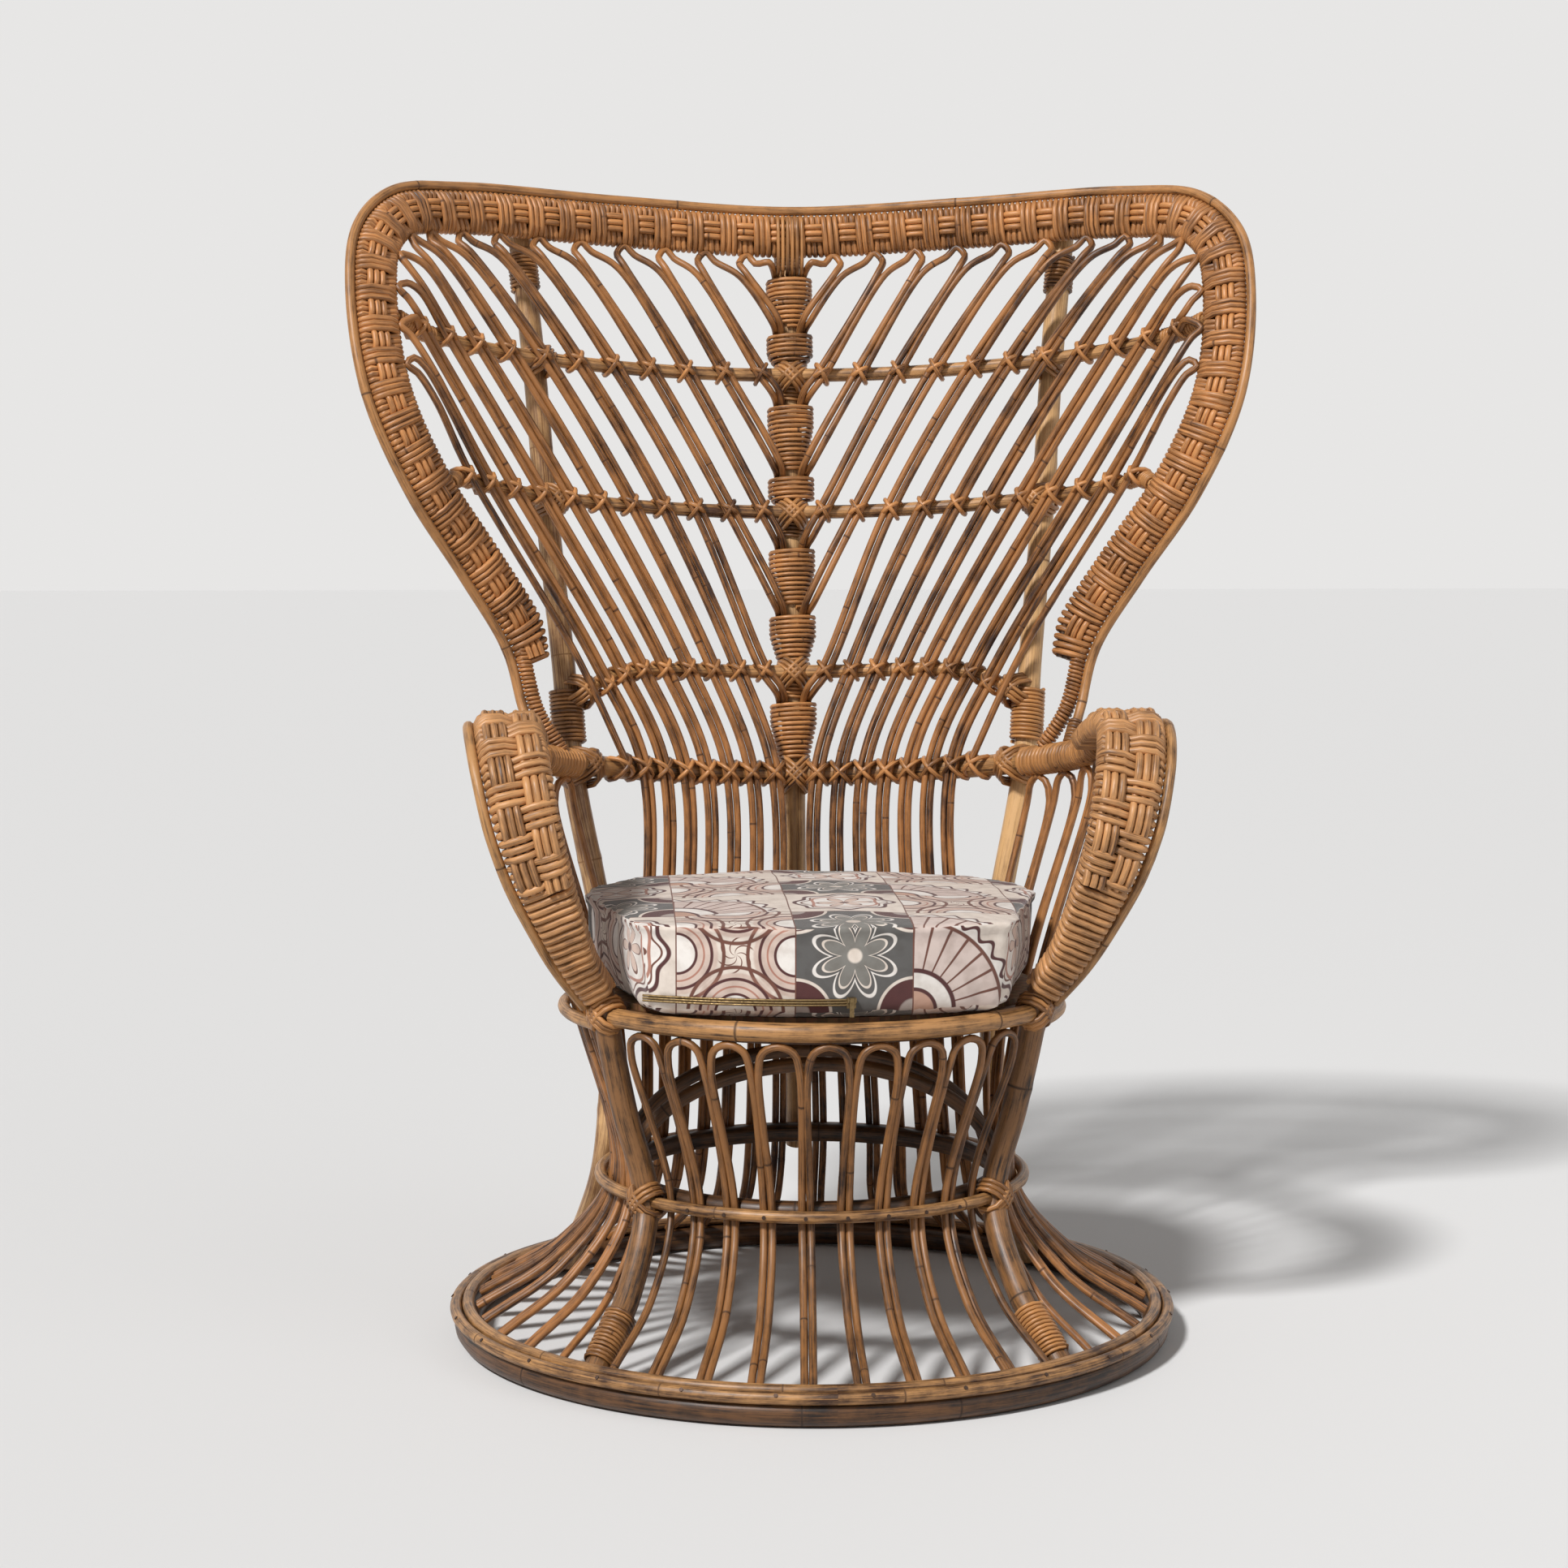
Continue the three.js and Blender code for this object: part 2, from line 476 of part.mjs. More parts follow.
// Hairpins. Each is one cane bent over at the top. Its legs lie against its neighbours' legs in pairs.
const PAIR_GAP = CANE + 0.7;
const PAIR_PRESS = CANE * 0.7;
const spokeEnd = { radius: innerRing.radius - RING_CANE / 2 - 3.8, z: innerRing.z - 1.8 };
const FLARE_DROP = 0.62;
function skirt(angles) {
  const share = FLARE_SHARE;
  const flareRadius = THREE.MathUtils.lerp(WAIST_RADIUS, spokeEnd.radius, share);
  const flareHeight = THREE.MathUtils.lerp(WAIST_HEIGHT, spokeEnd.z, FLARE_DROP);
  const flareAngle = THREE.MathUtils.lerp(angles.waist, angles.base, 0.7);
  return [
    polar(angles.waist, WAIST_RADIUS, WAIST_HEIGHT),
    polar(flareAngle, flareRadius, flareHeight),
    polar(angles.base, spokeEnd.radius, spokeEnd.z),
  ];
}
// One leg of a pair, pushed sideways from the pair's middle line, and pressed to its mate at the last point.
function legOf(line, push, pressed) {
  return line.map((p, i) => {
    const before = line[Math.max(0, i - 1)].at;
    const after = line[Math.min(line.length - 1, i + 1)].at;
    const sideways = after.clone().sub(before).cross(p.face).normalize();
    const apart = p.press && pressed ? PAIR_PRESS : PAIR_GAP;
    return p.at.clone().addScaledVector(p.around ?? sideways, (push * apart) / 2);
  });
}
const hairpin = (legA, crown, legB) => sweep([...legA.reverse(), ...crown, ...legB], CANE, CANE_SIDES);
const faceOut = (p) => vec(p.x, p.y, 0).normalize();
const skirtLine = (angles) => skirt(angles).map((at, i) => ({ at, face: faceOut(at), press: i === 2 }));

// Front hairpins hang under the front seat rail between the legs.
const spread = (from, to, count, i) => THREE.MathUtils.lerp(from, to, i / count);
const crownHeight = SEAT_HEIGHT - (SEAT_RAIL + CANE) / 2 - CLEARANCE;
const LEG_ROOM = { base: 3.9, waist: 5.4, seat: 6.5 };
function frontLine(j) {
  const angleAt = (level) => {
    const edge = LEG_ANGLE[level] - LEG_ROOM[level];
    return spread(-edge, edge, FRONT_HAIRPINS, j);
  };
  const below = polar(angleAt("seat"), seatOuter - 6, crownHeight - 26);
  const lower = skirtLine({ waist: angleAt("waist"), base: angleAt("base") });
  return [{ at: below, face: faceOut(below) }, ...lower];
}
const FRONT_SETS = 3;
const perFrontSet = FRONT_HAIRPINS / FRONT_SETS;
const frontPins = Array.from({ length: FRONT_HAIRPINS }, (_, i) => {
  const edge = LEG_ANGLE.seat - LEG_ROOM.seat;
  const at = (j, z, pull) => polar(spread(-edge, edge, FRONT_HAIRPINS, j), seatOuter - pull, z);
  const shoulder = crownHeight - 6.5;
  const crown = [at(i + 0.2, shoulder, 1), at(i + 0.5, crownHeight, 0), at(i + 0.8, shoulder, 1)];
  const first = i % perFrontSet === 0;
  const last = i % perFrontSet === perFrontSet - 1;
  return hairpin(legOf(frontLine(i), -1, !first), crown, legOf(frontLine(i + 1), 1, !last));
});
for (let set = 0; set < FRONT_SETS; set += 1) {
  const pins = frontPins.slice(set * perFrontSet, (set + 1) * perFrontSet);
  addPart(`front_canes_${set + 1}`, joined(pins), rattan.mid);
}

// Side hairpins stand between a front leg and a rear post, with their crowns under the arm.
const armLine = new THREE.CatmullRomCurve3([
  sheet(postReach.arm, ARM_RAIL_HEIGHT), armReturn, armStart, ...armBends.slice(0, 3),
], false, "centripetal");
const SIDE_SETS = 2;
const perSideSet = SIDE_HAIRPINS / SIDE_SETS;
const SIDE_ROOM = { base: 6, waist: 6, seat: 6 };
const ARM_SHARE = { front: 0.94, rear: 0.06 };
const underArm = ARM_POLE / 2 + CANE / 2 + 2 * CLEARANCE;
const beneathArm = (j, drop) => {
  const share = spread(ARM_SHARE.front, ARM_SHARE.rear, SIDE_HAIRPINS, j);
  return armLine.getPointAt(share).sub(vec(0, 0, underArm + drop));
};
function sideLine(j) {
  const angleAt = (level) => {
    const front = LEG_ANGLE[level] + SIDE_ROOM[level];
    return spread(front, POST_ANGLE[level] - SIDE_ROOM[level], SIDE_HAIRPINS, j);
  };
  const top = beneathArm(j, 30);
  const seat = polar(angleAt("seat"), SEAT_RADIUS, seatHoopHeight);
  const lower = skirtLine({ waist: angleAt("waist"), base: angleAt("base") });
  return [{ at: top, face: faceOut(top) }, { at: seat, face: faceOut(seat) }, ...lower];
}
for (const side of [-1, 1]) {
  const pins = Array.from({ length: SIDE_HAIRPINS }, (_, i) => {
    const crown = [beneathArm(i + 0.24, 7), beneathArm(i + 0.5, 0), beneathArm(i + 0.76, 7)];
    const legA = legOf(sideLine(i), -1, i % perSideSet !== 0);
    const legB = legOf(sideLine(i + 1), 1, i % perSideSet !== perSideSet - 1);
    const points = [...legA.reverse(), ...crown, ...legB].map((p) => mirrored(p, side));
    return sweep(points, CANE, CANE_SIDES);
  });
  for (let set = 0; set < SIDE_SETS; set += 1) {
    const group = pins.slice(set * perSideSet, (set + 1) * perSideSet);
    addPart(`side_canes_${sideName(side)}_${set + 1}`, joined(group), rattan.mid);
  }
}

// Seven wrapped cones on the spine: top, bottom, and the pair of canes that each one binds.
const TURN_CANE = 5;
const coneGap = BACK_RAIL / 2 + TURN_CANE;
const CONE_APART = 11.5;      // between two cones that follow each other
const LOWER_CONE = { arm: 82, lower: 65, middle: 41, upper: 49 };   // tops of the cones that stand on a rail
const onRail = (level) => ({ top: railHeight[level] + LOWER_CONE[level], bottom: railHeight[level] + coneGap });
const above = (level, share) => ({ top: upBack(share), bottom: onRail(level).top + CONE_APART });
const CONES = [
  above("upper", 0.856), onRail("upper"), above("middle", 0.632), onRail("middle"),
  above("lower", 0.384), onRail("lower"),
  { top: ARM_RAIL_HEIGHT + LOWER_CONE.arm, bottom: ARM_RAIL_HEIGHT + ARM_POLE / 2 + TURN_CANE },
];
const TIP_DROP = 18;          // a cane's end below the top of its cone
const TIP_BEARING = 48;       // a cane's end beside the spine, in degrees from its front
const tipRadius = (POLE + CANE) / 2 + CLEARANCE;
const tipReach = tipRadius * Math.sin(rad(TIP_BEARING));
const tipLift = (h) => spineLift(h) + tipRadius * Math.cos(rad(TIP_BEARING));

// Back hairpins hang from the band. Inner ones end at the spine, outer ones run on down to the base.
const toEdge = EDGE_CANE / 2 + 3 * CLEARANCE + BAND_WIDTH + CANE / 2;
const innerEdge = new THREE.CatmullRomCurve3(Array.from({ length: 61 }, (_, i) => {
  const { point, inward } = rimFrame(0.5 + (i / 60) * (0.5 - (BAND_END + 1) / rimSpans));
  return point.addScaledVector(inward, toEdge);
}));
const innerLength = innerEdge.getLength();
function belowRim(distance, inset, lift) {
  const u = Math.min(1, distance / innerLength);
  const point = innerEdge.getPointAt(u);
  const flat = fromFront(point.x, point.z);
  const normal = sheetNormal(flat.s, flat.h);
  const inward = innerEdge.getTangentAt(u).cross(normal);
  return point.addScaledVector(inward, inset).addScaledVector(normal, lift);
}
const CROWN_DROP = 28;        // from the band to where the legs of a pair come together
const LAST_SHORT = 5;         // pairs up to this one end at the spine
const FIRST_PAIR = { upper: 1, middle: 3, lower: 5, arm: 6 };
const knot = (s, h, lift, extra = {}) => ({ at: onBack(s, h, lift), face: sheetNormal(s, h), ...extra });
const LAST_ON_UPPER = 10;     // pairs beyond this one start below the upper rail
const pairAtRim = (j) => PAIR_SHARE[j + 1] * WING_WIDTH;
// A pair leaves the band straight towards its first rail.
function fromBand(j, line) {
  const hem = belowRim(pairAtRim(j), 0, cross + 3);
  const towards = line[0].at.clone().sub(hem);
  const at = hem.clone().add(towards.clampLength(0, Math.min(CROWN_DROP, towards.length() / 2)));
  const flat = fromFront(at.x, at.z);
  return [{ at, face: sheetNormal(flat.s, flat.h) }, ...line];
}
function backLine(j) {
  const line = [];
  const crossing = (level, h, lift) => {
    const s = firstCrossing[level] + (j - FIRST_PAIR[level]) * railPitch[level];
    if (j >= FIRST_PAIR[level]) line.push(knot(s, h, lift + (level === "arm" ? 0 : railLift(level, s))));
  };
  if (j <= FIRST_PAIR.upper + LAST_ON_UPPER) crossing("upper", railHeight.upper, cross);
  crossing("middle", railHeight.middle, cross);
  crossing("lower", railHeight.lower, cross);
  if (j <= LAST_SHORT) {
    const { top } = CONES[j + 1];
    const around = sheetNormal(0, top).multiplyScalar(Math.sin(rad(TIP_BEARING)));
    around.x -= Math.cos(rad(TIP_BEARING));
    line.push(knot(tipReach + 7, top + 16, cross - 4));
    line.push(knot(tipReach, top + 2, tipLift(top), { around }));
    line.push(knot(tipReach, top - TIP_DROP, tipLift(top - TIP_DROP), { around, press: true }));
    return fromBand(j, line);
  }
  crossing("arm", ARM_RAIL_HEIGHT, armCross);
  const place = (j - FIRST_PAIR.arm + 0.75) / (BACK_HAIRPINS - 1 - FIRST_PAIR.arm + 0.6);
  if (j === BACK_HAIRPINS - 1) return fromBand(j, line);
  const angleAt = (level) => 180 - place * (180 - POST_ANGLE[level]);
  const seat = polar(angleAt("seat"), SEAT_RADIUS, seatHoopHeight);
  line.push({ at: seat, face: faceOut(seat).negate() });
  const lower = skirtLine({ waist: angleAt("waist"), base: angleAt("base") });
  return fromBand(j, [...line, ...lower.map((p) => ({ ...p, face: p.face.clone().negate() }))]);
}
const CROWN_SHOULDER = { out: 0.26, drop: 7 };
function backCrown(i, below) {
  const middle = (pairAtRim(i - 1) + pairAtRim(i)) / 2;
  const out = CROWN_SHOULDER.out * (pairAtRim(i) - pairAtRim(i - 1));
  const hang = below.sub(belowRim(middle, 0, 4)).setLength(CROWN_SHOULDER.drop);
  const shoulder = (distance) => belowRim(distance, 0, 4).add(hang);
  return [shoulder(middle - out), belowRim(middle, 1.6, 2), shoulder(middle + out)];
}
const BACK_SETS = [7, 4, 3];
for (const side of [-1, 1]) {
  let i = 0;
  BACK_SETS.forEach((count, set) => {
    const pins = Array.from({ length: count }, (_, n) => {
      const legA = legOf(backLine(i - 1), -1, n > 0);
      const legB = legOf(backLine(i), 1, n < count - 1);
      const crown = backCrown(i, legA[0].clone().add(legB[0]).divideScalar(2));
      i += 1;
      return sweep([...legA.reverse(), ...crown, ...legB].map((p) => mirrored(p, side)), CANE, CANE_SIDES);
    });
    addPart(`back_canes_${sideName(side)}_${set + 1}`, joined(pins), rattan.mid);
  });
}

// Spine wraps: a thin cane wound down each cone, wide over the ends of the hairpins and close to the spine below.
const TURN_SIDES = 4;
const TURN_STEPS = 8;         // to a turn
const TURN_PITCH = TURN_CANE + 1.4;
const turnRoom = CLEARANCE + TURN_CANE / 2;
const closeTo = POLE / 2 + turnRoom;
const WRAP_TOP = { wide: tipRadius + 4.8 + turnRoom, deep: tipRadius + 1.2 + turnRoom, ahead: 2.2 };
let leastGap = Infinity;
CONES.forEach(({ top, bottom }, i) => {
  const straight = top - TIP_DROP - 4;
  const count = Math.floor(((top - bottom) / TURN_PITCH) * TURN_STEPS);
  const points = Array.from({ length: count + 1 }, (_, n) => {
    const h = top - (n / TURN_STEPS) * TURN_PITCH;
    const share = Math.min(1, Math.max(0, (h - bottom) / (straight - bottom)));
    const turn = ((n + 0.5) / TURN_STEPS) * 2 * Math.PI;
    const wide = THREE.MathUtils.lerp(closeTo, WRAP_TOP.wide, share) / Math.cos(Math.PI / TURN_STEPS);
    const deep = THREE.MathUtils.lerp(closeTo, WRAP_TOP.deep, share) / Math.cos(Math.PI / TURN_STEPS);
    const centre = onBack(0, h, spineLift(h) + WRAP_TOP.ahead * share);
    return centre.add(vec(wide * Math.cos(turn), 0, 0)).addScaledVector(sheetNormal(0, h), deep * Math.sin(turn));
  });
  for (let n = TURN_STEPS; n < points.length; n += 1) {
    leastGap = Math.min(leastGap, points[n].distanceTo(points[n - TURN_STEPS]) - TURN_CANE);
  }
  addPart(`spine_wrap_${i + 1}`, sweep(points, TURN_CANE, TURN_SIDES), rattan.dark);
});
console.log(`least gap between turns of a spine wrap: ${leastGap.toFixed(2)} mm`);

// Seat cushion: a bow-fronted box of foam with a crowned top, loose on the deck.
const cushionBottom = deckBottom + DECK_THICKNESS + CLEARANCE;
const cushionTop = cushionBottom + CUSHION_THICKNESS;
const bowCentre = CUSHION_FRONT_RADIUS - CUSHION_FRONT;
const BOW_SPAN = 25;          // degrees of the bowed front on each side of the middle
const bow = [0, 5, 10, 15, 20, BOW_SPAN].map((a) => polar(a, CUSHION_FRONT_RADIUS, 0).add(vec(0, bowCentre, 0)));
const half = CUSHION_WIDTH / 2;
const plan = [
  ...bow, vec(0.81 * half, -185, 0), vec(0.845 * half, -140, 0), vec(0.92 * half, -70, 0), vec(half, 20, 0),
  vec(0.95 * half, 95, 0), vec(0.77 * half, 0.73 * CUSHION_BACK, 0), vec(0.42 * half, 0.93 * CUSHION_BACK, 0),
  vec(0, CUSHION_BACK, 0),
];
const outline = [...plan, ...plan.slice(1, -1).reverse().map((p) => mirrored(p, -1))];
const CUSHION_LEVELS = [[0, 20], [0.05, 5], [0.16, 0], [0.85, 0], [0.95, 5], [1, 20]];
const cushionRings = CUSHION_LEVELS.map(([level, inset]) => outline.map((p) => {
  const out = p.clone().setLength(p.length() - inset);
  return out.setZ(cushionBottom + level * CUSHION_THICKNESS);
}));
addPart("seat_cushion", loft(cushionRings), 0xd8c7ae, 0.9);

// Zip slider on the front of the cushion, with its pull on a cross bar.
const SLIDER = { width: 9, depth: 3.4, height: 11 };
const BAR = 2.2;
const LUG = { width: 1.7, depth: 5.8, height: 4.4 };
const PULL = { width: 4.4, eye: 4.6, plate: 1.4, length: 17 };
const zipHeight = cushionTop - ZIP_DROP;
const sliderFront = CUSHION_FRONT_RADIUS + CLEARANCE + SLIDER.depth;
const barReach = sliderFront + LUG.depth - BAR;
const barHeight = SLIDER.height / 2 - LUG.height / 2;
const onZip = (geometry) => geometry.rotateZ(rad(ZIP_ANGLE)).translate(0, bowCentre, zipHeight);
const block = (wide, deep, tall, x, y, z) => new THREE.BoxGeometry(wide, deep, tall).translate(x, y, z);
const sliderBody = block(SLIDER.width, SLIDER.depth, SLIDER.height, 0, -sliderFront + SLIDER.depth / 2, 0);
const lugs = [-1, 1].map((end) => {
  const x = end * (SLIDER.width - LUG.width) / 2;
  return block(LUG.width, LUG.depth, LUG.height, x, -sliderFront - LUG.depth / 2 + 0.2, barHeight);
});
const crossBar = (radius, length) => new THREE.CylinderGeometry(radius, radius, length, POLE_SIDES)
  .rotateZ(Math.PI / 2).translate(0, -barReach, barHeight);
const slider = joined([sliderBody, ...lugs, crossBar(BAR / 2, SLIDER.width - LUG.width)]);
addPart("zip_slider", onZip(slider), 0x8d8f92, 0.35);
const eye = block(PULL.width, PULL.eye, PULL.eye, 0, -barReach, barHeight);
const plate = block(PULL.width, PULL.plate, PULL.length, 0, -barReach, barHeight - PULL.length / 2);
const eyeHole = toSolid(crossBar(BAR / 2 + CLEARANCE, 2 * SLIDER.width));
addPart("zip_pull", onZip(fitted(joined([eye, plate]), [eyeHole])), 0x8d8f92, 0.35);

// The middle of the whole chair's footprint goes to the origin.
const box = new THREE.Box3().setFromObject(chair);
const shift = -(box.min.y + box.max.y) / 2;
for (const mesh of chair.children) mesh.geometry.translate(0, shift, 0);

export default chair;
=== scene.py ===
import math
import bpy
import numpy as np
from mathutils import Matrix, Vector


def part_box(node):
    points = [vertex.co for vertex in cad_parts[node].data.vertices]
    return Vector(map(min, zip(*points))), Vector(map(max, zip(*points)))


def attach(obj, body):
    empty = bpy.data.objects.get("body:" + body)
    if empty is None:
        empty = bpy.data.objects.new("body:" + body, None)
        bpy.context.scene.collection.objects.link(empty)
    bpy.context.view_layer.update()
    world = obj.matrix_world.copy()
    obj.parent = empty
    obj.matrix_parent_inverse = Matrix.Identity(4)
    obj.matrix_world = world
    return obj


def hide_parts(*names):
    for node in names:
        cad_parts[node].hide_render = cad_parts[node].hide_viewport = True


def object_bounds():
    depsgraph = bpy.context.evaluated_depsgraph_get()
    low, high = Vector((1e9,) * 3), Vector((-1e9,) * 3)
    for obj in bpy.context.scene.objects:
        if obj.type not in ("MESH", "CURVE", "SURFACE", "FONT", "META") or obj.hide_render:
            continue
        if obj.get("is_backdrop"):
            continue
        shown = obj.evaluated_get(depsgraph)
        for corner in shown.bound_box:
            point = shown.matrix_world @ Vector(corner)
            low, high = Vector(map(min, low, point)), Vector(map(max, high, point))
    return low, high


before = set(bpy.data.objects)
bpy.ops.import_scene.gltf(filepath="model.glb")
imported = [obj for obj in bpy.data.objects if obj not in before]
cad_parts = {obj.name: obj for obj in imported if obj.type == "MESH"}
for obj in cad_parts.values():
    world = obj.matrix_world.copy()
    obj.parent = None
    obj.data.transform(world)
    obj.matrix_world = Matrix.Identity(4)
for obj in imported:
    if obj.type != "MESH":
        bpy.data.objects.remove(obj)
cad_low, cad_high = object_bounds()
CENTRE_Y = -0.03084  # the middle of the base rings in the frame
chance = np.random.default_rng(7)


# Ground hoop. A thick rattan pole, steamed and bent into the ring that the chair stands on.
# Its colour is darker than the rest, as painted shade low under the chair, and the legs and the posts end on
# it.
def polar(angle, radius, z):
    # A point round the base, with the angle in degrees from the front.
    turn = math.radians(angle)
    return np.array([radius * math.sin(turn), CENTRE_Y - radius * math.cos(turn), z])


def bend(points, spacing=0.009):
    # A smooth line through the points of a bent cane, with steps of about the spacing.
    p = np.asarray(points, float)
    p = np.vstack([2 * p[0] - p[1], p, 2 * p[-1] - p[-2]])
    line = []
    for a, b, c, d in zip(p, p[1:], p[2:], p[3:]):
        knots = np.cumsum([0] + [max(1e-6, np.linalg.norm(v)) ** 0.5 for v in (b - a, c - b, d - c)])
        steps = max(1, round(np.linalg.norm(c - b) / spacing))
        for t in knots[1] + (knots[2] - knots[1]) * np.arange(steps) / steps:
            mix = [((knots[i + 1] - t) * u + (t - knots[i]) * v) / (knots[i + 1] - knots[i])
                   for i, (u, v) in enumerate(((a, b), (b, c), (c, d)))]
            mix = [((knots[i + 2] - t) * u + (t - knots[i]) * v) / (knots[i + 2] - knots[i])
                   for i, (u, v) in enumerate(zip(mix, mix[1:]))]
            line.append(((knots[2] - t) * mix[0] + (t - knots[1]) * mix[1]) / (knots[2] - knots[1]))
    return np.array(line + [p[-2]])


def lengths_of(line):
    # Metres along a line, at each of its points.
    return np.concatenate([[0], np.cumsum(np.linalg.norm(np.diff(line, axis=0), axis=1))])


RING_SWELL, RING_WIDTH = 0.05, 0.006  # a growth ring's rise, as a share of the radius, and its width
RING_SHIFT = 7  # the canes of a piece begin up to so many growth rings apart


def rods(name, lines, thickness, closed=False, sides=8, joints=0.0):
    # Canes along lines, as one mesh. Its UV map holds metres along and round each cane, and the
    # attribute strand a number from 0 to 1 for each cane. joints is the distance between growth rings.
    bpy.ops.object.select_all(action="DESELECT")
    bpy.ops.curve.primitive_bezier_curve_add()
    rod = bpy.context.object
    rod.name = name
    curve = rod.data
    curve.splines.clear()
    curve.dimensions = "3D"
    tones = chance.random(len(lines))
    for line, tone in zip(lines, tones):
        spline = curve.splines.new("POLY")
        spline.points.add(len(line) - 1)
        spline.points.foreach_set("co", np.column_stack([line, np.ones(len(line))]).ravel())
        spline.use_cyclic_u = closed
        if joints:
            near = np.abs((lengths_of(line) / joints + tone * RING_SHIFT) % 1 - 0.5) * joints
            spline.points.foreach_set("radius", 1 + RING_SWELL * np.exp(-((near / RING_WIDTH) ** 2)))
    curve.bevel_depth = thickness / 2
    curve.bevel_resolution = (sides - 4) // 2
    curve.use_fill_caps = not closed
    curve.twist_mode = "MINIMUM"
    bpy.ops.object.convert(target="MESH")
    mesh = rod.data
    uv = np.zeros(2 * len(mesh.loops))
    mesh.uv_layers[0].data.foreach_get("uv", uv)
    uv = uv.reshape(-1, 2)
    tone_of = np.zeros(len(mesh.polygons))
    # the triangles of the end caps come first, then the squares of each cane
    face = 0 if closed else 2 * (sides - 2) * len(lines)
    loop = 3 * face
    for line, tone in zip(lines, tones):
        count = (len(line) if closed else len(line) - 1) * sides
        own = uv[loop:loop + 4 * count]
        own[:, 0] = own[:, 0] * lengths_of(line)[-1] + tone * RING_SHIFT * (joints or 1)
        own[:, 1] *= math.pi * thickness
        tone_of[face:face + count] = tone
        face += count
        loop += 4 * count
    mesh.uv_layers[0].data.foreach_set("uv", uv.ravel())
    mesh.attributes.new("strand", "FLOAT", "FACE").data.foreach_set("value", tone_of)
    bpy.ops.object.mode_set(mode="EDIT")
    bpy.ops.mesh.select_all(action="SELECT")
    bpy.ops.mesh.remove_doubles(threshold=1e-6)
    bpy.ops.object.mode_set(mode="OBJECT")
    bpy.ops.object.shade_smooth_by_angle(angle=math.radians(70))
    return rod


def feed(tree, node, values):
    # Each named socket of a node gets its value, or a link from the output given for it.
    for socket, value in dict(values).items():
        if hasattr(value, "is_output"):
            tree.links.new(value, node.inputs[socket])
        else:
            node.inputs[socket].default_value = value


def placed(tree, kind, values=(), **settings):
    # A new shader node with its settings and the values of its sockets.
    node = tree.nodes.new("ShaderNode" + kind)
    for name, setting in settings.items():
        setattr(node, name, setting)
    feed(tree, node, values)
    return node


def calculator(tree):
    # Sums in a node tree: an operation on values or outputs, which gives an output.
    def calc(how, *values, clamp=False):
        return placed(tree, "Math", enumerate(values), operation=how, use_clamp=clamp).outputs[0]
    return calc


def mixed(tree, factor, a, b, blend="MIX"):
    # Two colours mixed, each of them an output or three numbers.
    a, b = [colour if hasattr(colour, "is_output") else (*colour, 1) for colour in (a, b)]
    return placed(tree, "Mix", {"Factor": factor, "A": a, "B": b},
                  data_type="RGBA", blend_type=blend).outputs["Result"]


